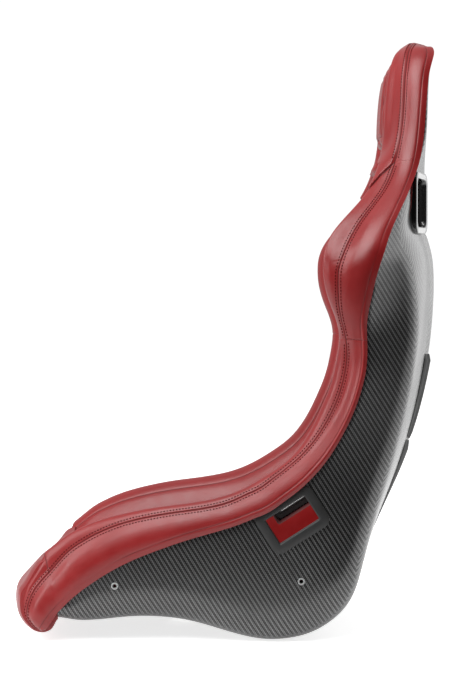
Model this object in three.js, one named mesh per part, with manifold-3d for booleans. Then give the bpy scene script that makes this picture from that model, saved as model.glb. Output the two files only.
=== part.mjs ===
// Fixed-back racing bucket seat: a moulded carbon shell with leather side rolls, three lift-off cushions,
// harness slots with bezels, four threaded side-mount inserts and two rubber guards on the back.
// Millimetres. +Z is up, the occupant faces -Y and +X is the occupant's left.
import * as THREE from 'three';
import * as BufferGeometryUtils from 'three/addons/utils/BufferGeometryUtils.js';
import Module from 'manifold-3d';

const wasm = await Module();
wasm.setup();

// ---- Driving dimensions -------------------------------------------------------------------------------------

const WALL = 4; // shell thickness
const SIDE = 242; // half width over the flat side walls that the brackets bolt to
const FIT = 0.6; // air between neighbouring pieces
const ROLL_FIT = 1.2; // air between a roll and the shell
const HEM_PROUD = 10; // how far a roll's hem stands out from the shell
const NOSE_BULGE = 28; // how much further forward the middle of the front edge is than its corners
const LIP_DIP = 18; // how much lower the middle of the front lip is than its corners
const LIFT_OFF = [-0.4, 0.917]; // y, z direction in which the seat and back cushions come out

const MOUNT_SPACING = 290; // between the two inserts on one side
const MOUNT_REAR = { y: 126, z: 100 };
const MOUNT_DROP = 8; // the front insert is this much lower than the rear one
const INSERT_RADIUS = 5.5;
const INSERT_BORE = 3.25;

const LAP_SLOT = { y: 112, z: 196, length: 72, height: 43, tilt: 32.8, border: 15, corner: 8 };
const SHOULDER_SLOT = { x: 103, y: 307.5, z: 692, width: 68, height: 76, turn: 15.5, border: 11, corner: 14 };
const CROTCH_SLOT = { y: -70, z: 36, width: 90, depth: 34, border: 11, corner: 12 };

const STRIP = 1.3; // thickness of one half of a hook-and-loop strip
const STRIP_GAP = 0.3;
const PAD_LIFT = WALL + 4 * STRIP_GAP + 2 * STRIP; // cushions start this far above the shell's outer face

const LEATHER = { color: 0x87302f, roughness: 0.5, metalness: 0 };
const LEATHER_DARK = { color: 0x701d1f, roughness: 0.5, metalness: 0 };
const CARBON = { color: 0x3a3a3a, roughness: 0.3, metalness: 0.1 };
const BLACK_PLASTIC = { color: 0x313130, roughness: 0.6, metalness: 0 };
const GLOSS_BLACK = { color: 0x0a0a0a, roughness: 0.15, metalness: 0 };
const STEEL = { color: 0xb8b8b8, roughness: 0.35, metalness: 1 };
const FOAM = { color: 0x55534e, roughness: 0.95, metalness: 0 };
const STRIP_BLACK = { color: 0x161616, roughness: 0.95, metalness: 0 };
const RUBBER = { color: 0x1c1c1c, roughness: 0.75, metalness: 0 };

// One row per station, from the front edge of the pan, under the hips, up the back to the top of the headrest.
// A station is a flat section through the seat. base is the shell's outer face on the centre line, crest is the
// top of the side roll, and heights are measured from base towards crest. The roll's skin passes through
// hem, seam and crest. corner is where the shell's floor turns into its side wall, with its rounding.
// inner is the half width between the rolls, pad is the height of the cushion's top, bulge is how far the
// middle of the front edge stands forward, and crown is the power of the floor's rise towards its corners.
const COLUMNS = [
  'baseY', 'baseZ', 'crestY', 'crestZ', 'crestX', 'seamX', 'seamH', 'hemX', 'hemH',
  'cornerX', 'cornerH', 'cornerR', 'inner', 'pad', 'bulge', 'crown',
];
const STATIONS = [
  [-250, 38, -272, 139, 222, 240, 75, 248, 13, SIDE, 0, 48, 172, 66, NOSE_BULGE, 2.2],
  [-199, 31, -218, 181, 226, 245, 132, 252, 62, SIDE, 0, 48, 172, 68, 20, 2.2],
  [-133, 40, -154, 203, 230, 248, 152, 252, 91, SIDE, 0, 48, 172, 62, 6, 2.2],
  [-59, 35, -91, 215, 232, 249, 172, 252, 122, SIDE, 0, 55, 172, 58, 0, 2.2],
  [21, 11, -28, 223, 232, 249, 207, 252, 168, SIDE, 0, 55, 172, 60, 0, 2.2],
  [76, 1, 15, 234, 232, 248, 230, 252, 193, SIDE, 0, 55, 172, 58, 0, 2.2],
  [132, 8, 46, 248, 230, 247, 245, 252, 206, SIDE, 0, 55, 172, 54, 0, 2.2],
  [183, 38, 74, 265, 228, 246, 243, 252, 204, SIDE, 0, 55, 172, 50, 0, 2.2],
  [213, 75, 100, 283, 226, 244, 229, 252, 190, 238, 4, 50, 170, 48, 0, 2.2],
  [234, 138, 122, 305, 222, 243, 191, 252, 155, 228, 13, 42, 168, 47, 0, 2.2],
  [259, 198, 141, 334, 218, 241, 166, 251, 132, 213, 22, 32, 168, 46, 0, 2.2],
  [287, 266, 156, 365, 214, 237, 147, 250, 116, 203, 27, 25, 168, 46, 0, 2.2],
  [309, 336, 171, 401, 212, 234, 135, 249, 105, 198, 29, 20, 168, 46, 0, 2.2],
  [325, 406, 181, 441, 214, 235, 132, 250, 101, 197, 29, 20, 168, 46, 0, 2.2],
  [335, 470, 186, 477, 220, 242, 140, 254, 108, 198, 30, 20, 168, 46, 0, 2.2],
  [339, 515, 180, 505, 230, 253, 152, 262, 113, 200, 34, 20, 168, 46, 0, 2.2],
  [341, 556, 168, 536, 245, 266, 160, 270, 108, 204, 40, 20, 168, 46, 0, 2.2],
  [340, 596, 159, 575, 255, 275, 160, 276, 97, 208, 46, 20, 168, 46, 0, 2.2],
  [334, 625, 159, 601, 258, 273, 146, 274, 81, 209, 48, 20, 168, 44, 0, 2.2],
  [329, 645, 167, 629, 252, 261, 129, 263, 68, 207, 46, 20, 168, 42, 0, 1.8],
  [328, 667, 187, 657, 236, 244, 112, 246, 56, 200, 42, 20, 165, 40, 0, 1.4],
  [331, 696, 214, 686, 210, 220, 92, 219, 44, 182, 38, 18, 160, 38, 0, 1.4],
  [332, 726, 236, 716, 180, 193, 72, 188, 31, 160, 34, 16, 155, 38, 0, 1.4],
  [331, 761, 252, 751, 150, 167, 58, 164, 17, 145, 16, 12, 130, 42, 0, 1.8],
  [331, 803, 258, 797, 88, 150, 47, 151, 10, 139, 5, 10, 118, 44, 0, 2.2],
  [332, 853, 260, 845, 86, 142, 43, 144, 7, 133, 4, 10, 112, 44, 0, 2.2],
  [335, 903, 265, 894, 84, 133, 44, 130, 5, 120, 4, 10, 100, 44, 0, 2.2],
  [340, 934, 275, 928, 66, 112, 43, 107, 5, 94, 4, 10, 74, 42, 0, 2.2],
  [338, 948, 286, 945, 50, 92, 34, 88, 4, 76, 3, 8, 56, 36, 0, 2.2],
  [330, 957, 300, 956, 30, 62, 18, 58, 4, 46, 2, 6, 30, 24, 0, 2.2],
];
const TOP = STATIONS.length - 1;
const GRID = TOP / 44; // sections are drawn this many stations apart
const WAIST = 14; // station of the cross seam between the thigh rolls and the back rolls
const NECK = 23; // station where the back rolls meet the headrest

// ---- Stations -----------------------------------------------------------------------------------------------

// Slopes of a curve through evenly spaced values that never swings past them.
function monotoneSlopes(values) {
  const steps = values.slice(1).map((value, i) => value - values[i]);
  return values.map((_, i) => {
    const before = steps[i - 1] ?? steps[i];
    const after = steps[i] ?? steps[i - 1];
    return before * after <= 0 ? 0 : (2 * before * after) / (before + after);
  });
}

const columnValues = COLUMNS.map((_, c) => STATIONS.map((row) => row[c]));
const columnSlopes = columnValues.map(monotoneSlopes);

function station(t) {
  const i = Math.min(Math.floor(t), TOP - 1);
  const f = t - i;
  const found = {};
  COLUMNS.forEach((name, c) => {
    const [a, b] = [columnValues[c][i], columnValues[c][i + 1]];
    const [slopeA, slopeB] = [columnSlopes[c][i], columnSlopes[c][i + 1]];
    found[name] = a + f * (slopeA + f * (3 * (b - a) - 2 * slopeA - slopeB + f * (slopeA + slopeB - 2 * (b - a))));
  });
  found.reach = Math.hypot(found.crestY - found.baseY, found.crestZ - found.baseZ);
  found.ny = (found.crestY - found.baseY) / found.reach;
  found.nz = (found.crestZ - found.baseZ) / found.reach;
  return found;
}

function place(at, [x, h]) {
  const bulge = at.bulge * Math.max(0, 1 - (x / SIDE) ** 2);
  return [x, at.baseY + at.ny * h - bulge, at.baseZ + at.nz * h];
}

function range(from, to, count) {
  return Array.from({ length: count + 1 }, (_, i) => from + ((to - from) * i) / count);
}

// ---- Meshes -------------------------------------------------------------------------------------------------

function volumeOf(positions, index) {
  const [a, b, c] = [new THREE.Vector3(), new THREE.Vector3(), new THREE.Vector3()];
  let sum = 0;
  for (let i = 0; i < index.length; i += 3) {
    a.fromArray(positions, 3 * index[i]);
    b.fromArray(positions, 3 * index[i + 1]);
    c.fromArray(positions, 3 * index[i + 2]);
    sum += a.dot(b.cross(c)) / 6;
  }
  return sum;
}

function geometryFrom(points, index) {
  const positions = points.flat();
  const facing = volumeOf(positions, index) > 0 ? index : index.slice().reverse();
  const geometry = new THREE.BufferGeometry();
  geometry.setAttribute('position', new THREE.Float32BufferAttribute(positions, 3));
  geometry.setIndex(facing);
  return geometry;
}

function squareOf(a, b) {
  return (a[0] - b[0]) ** 2 + (a[1] - b[1]) ** 2 + (a[2] - b[2]) ** 2;
}

// A closed body through matching outlines. Each outline is a list of [x, h], and place3d puts it in space.
function loft(outlines, place3d) {
  const count = outlines[0].length;
  const points = outlines.flatMap((outline, i) => outline.map((point) => place3d(i, point)));
  const index = [];
  for (let s = 0; s < outlines.length - 1; s++) {
    for (let k = 0; k < count; k++) {
      const [a, b] = [s * count + k, s * count + ((k + 1) % count)];
      const short = squareOf(points[a], points[b + count]) < squareOf(points[b], points[a + count]);
      index.push(...(short ? [a, b, b + count, a, b + count, a + count] : [a, b, a + count, b, b + count, a + count]));
    }
  }
  const cap = (outline, offset, forwards) => {
    const flat = outline.map(([x, h]) => new THREE.Vector2(x, h));
    const turn = Math.sign(THREE.ShapeUtils.area(flat)) * (forwards ? 1 : -1);
    for (const [p, q, r] of THREE.ShapeUtils.triangulateShape(flat, [])) {
      const same = Math.sign(THREE.ShapeUtils.area([flat[p], flat[q], flat[r]])) === turn;
      index.push(p + offset, (same ? q : r) + offset, (same ? r : q) + offset);
    }
  };
  cap(outlines[0], 0, false);
  cap(outlines.at(-1), (outlines.length - 1) * count, true);
  return geometryFrom(points, index);
}

// Sections stand on a common grid, so that neighbouring pieces keep their gap. In between they are blended.
function section(t, outlineAt) {
  const low = Math.floor(t / GRID + 1e-6) * GRID;
  const f = (t - low) / GRID;
  const drawn = [low, Math.min(low + GRID, TOP)].map((at) => {
    const found = station(at);
    const outline = outlineAt(found);
    return outline.map((point) => [...point, ...place(found, point)]);
  });
  return drawn[0].map((point, k) => point.map((value, axis) => value + f * (drawn[1][k][axis] - value)));
}

function loftStations([from, to], outlineAt) {
  const inside = range(0, TOP, Math.round(TOP / GRID)).filter((t) => t > from + 0.1 && t < to - 0.1);
  const sections = [from, ...inside, to].map((t) => section(t, outlineAt));
  return loft(sections, (i, point) => point.slice(2));
}

function solid(geometry) {
  const bare = geometry.clone();
  bare.deleteAttribute('normal');
  bare.deleteAttribute('uv');
  const merged = BufferGeometryUtils.mergeVertices(bare);
  const vertProperties = new Float32Array(merged.attributes.position.array);
  const triVerts = new Uint32Array(merged.index.array);
  return new wasm.Manifold(new wasm.Mesh({ numProp: 3, vertProperties, triVerts }));
}

function geometryOf(manifold) {
  const mesh = manifold.getMesh();
  const geometry = new THREE.BufferGeometry();
  geometry.setAttribute('position', new THREE.Float32BufferAttribute(mesh.vertProperties, 3));
  geometry.setIndex(Array.from(mesh.triVerts));
  return geometry;
}

function cut(geometry, ...tools) {
  return geometryOf(tools.reduce((left, tool) => left.subtract(solid(tool)), solid(geometry)));
}

function join(geometry, ...others) {
  return geometryOf(others.reduce((sum, other) => sum.add(solid(other)), solid(geometry)));
}

function roundedRectangle(width, height, radius) {
  const [w, h, r] = [width / 2, height / 2, Math.min(radius, width / 2 - 0.1, height / 2 - 0.1)];
  const outline = new THREE.Shape();
  outline.absarc(w - r, h - r, r, 0, Math.PI / 2);
  outline.absarc(r - w, h - r, r, Math.PI / 2, Math.PI);
  outline.absarc(r - w, r - h, r, Math.PI, 1.5 * Math.PI);
  outline.absarc(w - r, r - h, r, 1.5 * Math.PI, 2 * Math.PI);
  return outline;
}

// A prism of a rounded rectangle, with an optional window, from z = low to z = high.
function frame(width, height, radius, low, high, window) {
  const outline = roundedRectangle(width, height, radius);
  if (window) {
    outline.holes.push(roundedRectangle(window.width, window.height, window.radius));
  }
  const geometry = new THREE.ExtrudeGeometry(outline, { depth: high - low, bevelEnabled: false, curveSegments: 3 });
  return geometry.translate(0, 0, low);
}

const seat = new THREE.Group();

function add(name, geometry, look) {
  const mesh = new THREE.Mesh(geometry, new THREE.MeshStandardMaterial(look));
  mesh.name = name;
  seat.add(mesh);
}

function mirrored(geometry) {
  const copy = geometry.clone().applyMatrix4(new THREE.Matrix4().makeScale(-1, 1, 1));
  if (copy.index) {
    copy.setIndex(Array.from(copy.index.array).reverse());
    return copy;
  }
  const indexed = BufferGeometryUtils.mergeVertices(copy);
  indexed.setIndex(Array.from(indexed.index.array).reverse());
  return indexed;
}

function addPair(name, geometry, look) {
  add(`${name}_left`, geometry, look);
  add(`${name}_right`, mirrored(geometry), look);
}

// Everything on one side of a plane that contains the X direction: point is (y, z), normal points into the space.
function halfSpace([y, z], [ny, nz]) {
  const size = 1400;
  const box = new THREE.BoxGeometry(size, size, size).translate(0, size / 2, 0);
  return box.rotateX(Math.atan2(nz, ny)).translate(0, y, z);
}

// ---- Shell --------------------------------------------------------------------------------------------------

const CORNER_STEPS = 4;

function floorHeight(at, x) {
  return at.cornerH * (Math.abs(x) / at.cornerX) ** at.crown;
}

function rimOf(at) {
  return { x: at.hemX - HEM_PROUD - 5, h: at.hemH + 0.5 * (at.reach - at.hemH) };
}

// The widest place of the shell's side wall, at the hem or a little above it.
function bendOf(at) {
  return { x: at.hemX - HEM_PROUD, h: Math.max(at.hemH, at.cornerH + 0.45 * (rimOf(at).h - at.cornerH)) };
}

// The shell's outer face from the centre line to the rim.
const PANEL = [0, 0.2, 0.4, 0.6, 0.8];

function shellSide(at) {
  const start = at.cornerX - at.cornerR;
  const bend = bendOf(at);
  const toBend = [bend.x - at.cornerX, bend.h - at.cornerH];
  const wall = Math.hypot(...toBend);
  const rise = Math.min(at.cornerR, 0.7 * wall) / wall;
  const first = [start, floorHeight(at, start)];
  const last = [at.cornerX + toBend[0] * rise, at.cornerH + toBend[1] * rise];
  const corner = range(0, 1, CORNER_STEPS).map((f) => [0, 1].map((axis) => {
    const control = [at.cornerX, at.cornerH][axis];
    return (1 - f) ** 2 * first[axis] + 2 * f * (1 - f) * control + f * f * last[axis];
  }));
  const rim = rimOf(at);
  const floor = PANEL.map((f) => [start * f, floorHeight(at, start * f)]);
  return [...floor, ...corner, [bend.x, bend.h], [rim.x, rim.h]];
}

// The same line moved inwards, towards the occupant, by distance.
function movedIn(line, distance) {
  return line.map(([x, h], i) => {
    const before = line[Math.max(i - 1, 0)];
    const after = line[Math.min(i + 1, line.length - 1)];
    const [dx, dh] = [after[0] - before[0], after[1] - before[1]];
    const length = Math.hypot(dx, dh);
    const normal = i === 0 ? [0, 1] : [-dh / length, dx / length];
    return [x + normal[0] * distance, h + normal[1] * distance];
  });
}

// Height of a line at half width x.
function heightOn(line, x) {
  const k = Math.min(line.findIndex((point, i) => i > 0 && point[0] >= Math.abs(x)), line.length - 1);
  const [a, b] = [line[k - 1], line[k]];
  return a[1] + ((b[1] - a[1]) * (Math.abs(x) - a[0])) / (b[0] - a[0]);
}

function mirrorLine(line) {
  return line.map(([x, h]) => [-x, h]).reverse();
}

function shellOutline(at) {
  const outer = shellSide(at);
  const inner = movedIn(outer, WALL);
  return [...mirrorLine(outer), ...outer.slice(1), ...inner.slice().reverse(), ...mirrorLine(inner).reverse().slice(1)];
}

const SHELL_TOP = 27.3;

function lapFrame(geometry) {
  const tilt = THREE.MathUtils.degToRad(LAP_SLOT.tilt);
  return geometry.rotateY(Math.PI / 2).rotateX(Math.PI / 2 + tilt).translate(0, LAP_SLOT.y, LAP_SLOT.z);
}

function shoulderFrame(geometry) {
  const turn = THREE.MathUtils.degToRad(SHOULDER_SLOT.turn);
  const { x, y, z } = SHOULDER_SLOT;
  return geometry.rotateX(Math.PI / 2).rotateZ(-turn).translate(x, y, z);
}

function crotchFrame(geometry) {
  return geometry.translate(0, CROTCH_SLOT.y, CROTCH_SLOT.z);
}

const BEZEL_WALL = 3;
const FLANGE = 2.4;
const SLEEVE_CORNER = 4;
const LAP_INNER_BORDER = 11;

function lapOpening(grow, low, high) {
  const { length, height } = LAP_SLOT;
  return lapFrame(frame(length + 2 * grow, height + 2 * grow, SLEEVE_CORNER, low, high));
}

function shoulderOpening(grow, low, high) {
  const { width, height, corner } = SHOULDER_SLOT;
  return shoulderFrame(frame(width + 2 * grow, height + 2 * grow, corner, low, high));
}

function crotchOpening(grow, low, high) {
  const { width, depth, corner } = CROTCH_SLOT;
  return crotchFrame(frame(width + 2 * grow, depth + 2 * grow, corner, low, high));
}

const mounts = [
  { name: 'rear', y: MOUNT_REAR.y, z: MOUNT_REAR.z },
  { name: 'front', y: MOUNT_REAR.y - MOUNT_SPACING, z: MOUNT_REAR.z - MOUNT_DROP },
];

// A round bar along X from x = low to x = high at a mount.
function bar(at, radius, low, high) {
  const cylinder = new THREE.CylinderGeometry(radius, radius, high - low, 20);
  return cylinder.rotateZ(Math.PI / 2).translate((low + high) / 2, at.y, at.z);
}

function makeShell() {
  const body = loftStations([0, SHELL_TOP], shellOutline);
  const slot = BEZEL_WALL + FIT;
  const left = [lapOpening(slot, 200, 300), shoulderOpening(slot, -60, 60)];
  const holes = mounts.map((at) => bar(at, INSERT_RADIUS + FIT / 2, SIDE - 20, SIDE + 20));
  const oneSide = [...left, ...holes];
  return cut(body, ...oneSide, ...oneSide.map(mirrored), crotchOpening(slot, -60, 30));
}

add('shell', makeShell(), CARBON);

// ---- Side rolls ---------------------------------------------------------------------------------------------

// One side roll: skin over the crest, then back along the shell's inner face, over its rim and down to the hem.
function rollOutline(at) {
  const clear = WALL + ROLL_FIT;
  const whole = movedIn(shellSide(at), clear);
  const inside = whole.slice(PANEL.length);
  const [rim, bend] = [rimOf(at), bendOf(at)];
  const top = at.reach;
  const skin = [
    [at.hemX - 1, at.hemH],
    [at.hemX, at.hemH + 6],
    [at.seamX, at.seamH],
    [at.seamX - 0.35 * (at.seamX - at.crestX), at.seamH + 0.75 * (top - at.seamH)],
    [at.crestX, top],
    [at.crestX - 14, top - 4],
    [Math.max(at.inner + 6, at.crestX - 26), top - 15],
    [at.inner + 2, at.pad + 8],
    [at.inner, at.pad - 8],
    [at.inner, heightOn(whole, at.inner)],
  ];
  const groove = [
    ...inside.slice(0, -1),
    [rim.x - clear - 0.5, rim.h + ROLL_FIT],
    [rim.x + ROLL_FIT, rim.h + ROLL_FIT],
    [bend.x + ROLL_FIT, Math.max(bend.h, at.hemH + 1)],
    [bend.x + ROLL_FIT, at.hemH],
  ];
  return [...skin, ...groove];
}

function insertPockets() {
  return mounts.map((at) => bar(at, 14, SIDE - 20, SIDE + 10));
}

const NEIGHBOUR = 0.03; // half the gap between two neighbouring rolls, in stations

function makeThighRoll() {
  const body = loftStations([NEIGHBOUR, WAIST - NEIGHBOUR], rollOutline);
  const { length, height, border, corner } = LAP_SLOT;
  const size = [length + 2 * (border + FIT), height + 2 * (border + FIT)];
  const flangePocket = lapFrame(frame(...size, corner, SIDE - 1, SIDE + 0.3 + FLANGE + FIT));
  return cut(body, lapOpening(LAP_INNER_BORDER + 2, 100, SIDE), flangePocket, ...insertPockets());
}

function makeBackRoll() {
  return loftStations([WAIST + NEIGHBOUR, NECK - NEIGHBOUR], rollOutline);
}

addPair('thigh_bolster', makeThighRoll(), LEATHER);
addPair('back_bolster', makeBackRoll(), LEATHER);

// The lip is drawn across the seat: its outline in the y, z plane at half width x.
const LIP_CORNER = 205; // half width at which the lip starts to round off
function lipOutline(x) {
  const edge = Math.max(0, (Math.abs(x) - LIP_CORNER) / (244 - LIP_CORNER));
  const inset = 21 * edge ** 2.4;
  const dip = LIP_DIP * Math.max(0, 1 - (x / LIP_CORNER) ** 4);
  const bulge = NOSE_BULGE * Math.max(0, 1 - (x / SIDE) ** 2);
  const front = [
    [-281, 127 - dip, 0.9],
    [-303, 94 - dip / 2, 1],
    [-312, 80 - dip / 3, 1],
    [-314, 62, 1],
    [-311, 42, 1],
    [-299, 25, 0.9],
    [-285, 16, 0.7],
    [-274, 15, 0.5],
    [-262, 20, 0.3],
  ];
  const middle = [-255, 60];
  const pulled = front.map(([y, z, share]) => {
    const [dy, dz] = [middle[0] - y, middle[1] - z];
    const move = (inset * share) / Math.hypot(dy, dz);
    return [y + dy * move, z + dz * move];
  });
  const first = station(0);
  const rear = [0, 36, 72, 99 - 0.6 * inset].map((h, i) => {
    const lower = i === 3 ? dip : 0;
    return [first.baseY + first.ny * h - ROLL_FIT, first.baseZ + first.nz * h - lower];
  });
  const outline = [...pulled, [first.baseY - 3, first.baseZ - 3], ...rear];
  return outline.map(([y, z]) => [y - bulge, z]);
}

function makeLip() {
  const half = [0, 50, 100, 145, 180, LIP_CORNER, 216, 226, 235, 241, 244];
  const xs = [...half.slice(1).reverse().map((x) => -x), ...half];
  return loft(xs.map(lipOutline), (i, [y, z]) => [xs[i], y, z]);
}

add('front_lip_pad', makeLip(), LEATHER_DARK);

// ---- Headrest -----------------------------------------------------------------------------------------------

const RECESS = 88; // half width of the headrest cushion's recess
const RECESS_DEPTH = 46;

function recessHalf(at) {
  return Math.min(RECESS, at.crestX + 2);
}

function surroundOutline(at) {
  const clear = WALL + ROLL_FIT;
  const inside = movedIn(shellSide(at), clear);
  const [rim, bend] = [rimOf(at), bendOf(at)];
  const step = recessHalf(at);
  const half = [
    [0, Math.min(RECESS_DEPTH, at.reach - 26)],
    [step, Math.min(RECESS_DEPTH, at.reach - 26)],
    [step + 4, at.reach - 8],
    [0.5 * (step + 4 + at.seamX), 0.5 * (at.reach - 4 + at.seamH)],
    [at.seamX, at.seamH],
    [at.hemX, at.hemH + 6],
    [at.hemX - 1, at.hemH],
    [bend.x + ROLL_FIT, at.hemH],
    [bend.x + ROLL_FIT, Math.max(bend.h, at.hemH + 1)],
    [rim.x + ROLL_FIT, rim.h + ROLL_FIT],
    [rim.x - clear - 0.5, rim.h + ROLL_FIT],
    ...inside.slice(0, -1).reverse(),
  ];
  return [...half, ...half.slice(1, -1).map(([x, h]) => [-x, h]).reverse()];
}

// Above the shell the padding wraps right round to the back.
function crownOutline(at) {
  const half = [
    [0, at.reach],
    [at.crestX, at.reach - 2],
    [0.5 * (at.crestX + at.seamX), 0.5 * (at.reach - 2 + at.seamH)],
    [at.seamX, at.seamH],
    [at.hemX, at.hemH + 4],
    [at.hemX - 8, 0],
    [0, 0],
  ];
  return [...half, ...half.slice(1, -1).map(([x, h]) => [-x, h]).reverse()];
}

function makeSurround() {
  const lower = loftStations([NECK + NEIGHBOUR, SHELL_TOP + 0.12], surroundOutline);
  const crown = loftStations([SHELL_TOP + 0.06, TOP], crownOutline);
  return join(lower, crown);
}

add('headrest_surround', makeSurround(), LEATHER);

// ---- Cushions -----------------------------------------------------------------------------------------------

const COVER = 3; // leather and backing of a cushion cover
const CORNER_DROP = 9;

function padOutline(at, half, lift, inset) {
  const [x, top] = [half - inset, at.pad - inset];
  const floor = movedIn(shellSide(at), lift);
  const low = (px) => heightOn(floor, px);
  const side = [[0.5 * x, top + 1.5], [x - CORNER_DROP, top], [x, top - CORNER_DROP], [x, low(x)], [0.5 * x, low(0.5 * x)]];
  return [[0, top + 2], ...side, [0, low(0)], ...side.map(([px, h]) => [-px, h]).reverse()];
}

function pad(ends, halfAt, lift, inset) {
  return loftStations(ends, (at) => padOutline(at, halfAt(at), lift, inset));
}

const JOINT_LINE = { y: 150, z: 60 }; // where the seat cushion meets the back cushion
const FRONT_LINE = { y: -267, z: 112 }; // where the seat cushion meets the lip
const FRONT_LEAN = [-0.45, 0.893];
const SEAT_HALF = 170;

function between(geometry, point, along, gap, keepFront) {
  const across = keepFront ? [along[1], -along[0]] : [-along[1], along[0]];
  const start = [point.y - across[0] * gap, point.z - across[1] * gap];
  return cut(geometry, halfSpace(start, across));
}

function seatBlock(inset, lift) {
  const body = pad([0.05, 8.4], () => SEAT_HALF, lift, inset);
  const rear = between(body, JOINT_LINE, LIFT_OFF, FIT + inset, true);
  return between(rear, FRONT_LINE, FRONT_LEAN, FIT + inset, false);
}

// The back cushion narrows towards the shoulder slots.
function backHalf(at) {
  const taper = THREE.MathUtils.smoothstep(at.baseZ, 520, 660);
  return THREE.MathUtils.lerp(166, 140, taper);
}

const BACK_TOP = 18.05;

function backBlock(inset, lift) {
  const body = pad([6.2, BACK_TOP - inset * 0.03], backHalf, lift, inset);
  return between(body, JOINT_LINE, LIFT_OFF, FIT + inset, false);
}

const HEAD_PAD = { from: 23.7, to: 26.9 };

function headOutline(at, inset) {
  const [x, top] = [recessHalf(at) - 3 - inset, at.reach - inset];
  const low = RECESS_DEPTH + 3 * STRIP_GAP + 2 * STRIP;
  const base = inset ? low - (inset > COVER ? 0 : 6) : low;
  return [[-x, base], [x, base], [x, top - 12], [x - 8, top - 3], [0, top], [8 - x, top - 3], [-x, top - 12]];
}

function headBlock(inset) {
  const shrink = inset * 0.03;
  return loftStations([HEAD_PAD.from + shrink, HEAD_PAD.to - shrink], (at) => headOutline(at, inset));
}

function crotchTunnel(grow) {
  return crotchOpening(BEZEL_WALL + FIT + grow, -60, 200);
}

function makeSeatCover() {
  const core = cut(seatBlock(COVER, PAD_LIFT - 12), crotchTunnel(COVER));
  return cut(seatBlock(0, PAD_LIFT), crotchTunnel(0), core);
}

add('seat_cushion_cover', makeSeatCover(), LEATHER);
const SLACK = COVER + STRIP_GAP; // a foam core fits inside its cover with a little air
add('seat_cushion_foam', cut(seatBlock(SLACK, PAD_LIFT), crotchTunnel(SLACK)), FOAM);
add('back_cushion_cover', cut(backBlock(0, PAD_LIFT), backBlock(COVER, PAD_LIFT - 12)), LEATHER);
add('back_cushion_foam', backBlock(SLACK, PAD_LIFT), FOAM);
add('headrest_cushion_cover', cut(headBlock(0), headBlock(COVER)), LEATHER);
add('headrest_cushion_foam', headBlock(SLACK), FOAM);

// ---- Hook-and-loop strips -----------------------------------------------------------------------------------

// A thin band that follows the shell's floor from station `from` to `to`, between half widths x0 and x1.
function band(from, to, x0, x1, lift) {
  const outline = (at) => {
    const floor = movedIn(shellSide(at), lift);
    const low = [x0, (x0 + x1) / 2, x1].map((x) => [x, heightOn(floor, x)]);
    return [...low, ...low.map(([x, h]) => [x, h + STRIP]).reverse()];
  };
  return loftStations([from, to], outline);
}

function headBand(lift) {
  const outline = () => [[-50, lift], [50, lift], [50, lift + STRIP], [-50, lift + STRIP]];
  return loftStations([24.2, 26.3], outline);
}

const HOOK_LIFT = WALL + STRIP_GAP + 0.1;
const LOOP_LIFT = HOOK_LIFT + STRIP + STRIP_GAP;
addPair('hook_strip_seat', band(2.2, 5.2, 85, 125, HOOK_LIFT), STRIP_BLACK);
addPair('loop_strip_seat', band(2.2, 5.2, 85, 125, LOOP_LIFT), STRIP_BLACK);
addPair('hook_strip_back', band(9.5, 16.5, 65, 105, HOOK_LIFT), STRIP_BLACK);
addPair('loop_strip_back', band(9.5, 16.5, 65, 105, LOOP_LIFT), STRIP_BLACK);
add('hook_strip_headrest', headBand(RECESS_DEPTH + STRIP_GAP), STRIP_BLACK);
add('loop_strip_headrest', headBand(RECESS_DEPTH + 2 * STRIP_GAP + STRIP), STRIP_BLACK);

// ---- Harness slot bezels ------------------------------------------------------------------------------------

function makeLapOuter() {
  const { length, height, border, corner } = LAP_SLOT;
  const window = { width: length, height, radius: 2 };
  const flange = frame(length + 2 * border, height + 2 * border, corner, SIDE + 0.3, SIDE + 0.3 + FLANGE, window);
  const size = [length + 2 * BEZEL_WALL, height + 2 * BEZEL_WALL];
  const sleeve = frame(...size, SLEEVE_CORNER, SIDE - 11, SIDE + 1, window);
  return lapFrame(join(flange, sleeve));
}

function makeLapInner() {
  const { length, height, corner } = LAP_SLOT;
  const border = LAP_INNER_BORDER;
  const top = SIDE - WALL - 4.2;
  const grow = 2 * (BEZEL_WALL + FIT);
  const window = { width: length + grow, height: height + grow, radius: SLEEVE_CORNER };
  return lapFrame(frame(length + 2 * border, height + 2 * border, corner, top - FLANGE, top, window));
}

addPair('lap_bezel_outer', makeLapOuter(), BLACK_PLASTIC);
addPair('lap_bezel_inner', makeLapInner(), BLACK_PLASTIC);

// In a shoulder slot's own frame the prism axis points forwards, so the rear flange has the lowest values.
const SHOULDER_REAR = -14;

function makeShoulderRear() {
  const { width, height, border, corner } = SHOULDER_SLOT;
  const window = { width, height, radius: corner - BEZEL_WALL };
  const low = SHOULDER_REAR;
  const flange = frame(width + 2 * border, height + 2 * border, corner + 6, low, low + FLANGE, window);
  const sleeve = frame(width + 2 * BEZEL_WALL, height + 2 * BEZEL_WALL, corner, low, 6, window);
  return shoulderFrame(join(flange, sleeve));
}

function makeShoulderFront() {
  const { width, height, corner } = SHOULDER_SLOT;
  const grow = 2 * (BEZEL_WALL + FIT);
  const window = { width: width + grow, height: height + grow, radius: corner };
  return shoulderFrame(frame(width + 2 * 9, height + 2 * 9, corner + 4, 3, 3 + FLANGE, window));
}

addPair('shoulder_bezel_rear', makeShoulderRear(), GLOSS_BLACK);
addPair('shoulder_bezel_front', makeShoulderFront(), GLOSS_BLACK);

function makeCrotchLower() {
  const { width, depth, border, corner } = CROTCH_SLOT;
  const window = { width, height: depth, radius: corner - BEZEL_WALL };
  const low = -8;
  const flange = frame(width + 2 * border, depth + 2 * border, corner + 6, low, low + FLANGE, window);
  const sleeve = frame(width + 2 * BEZEL_WALL, depth + 2 * BEZEL_WALL, corner, low, 4, window);
  return crotchFrame(join(flange, sleeve));
}

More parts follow.
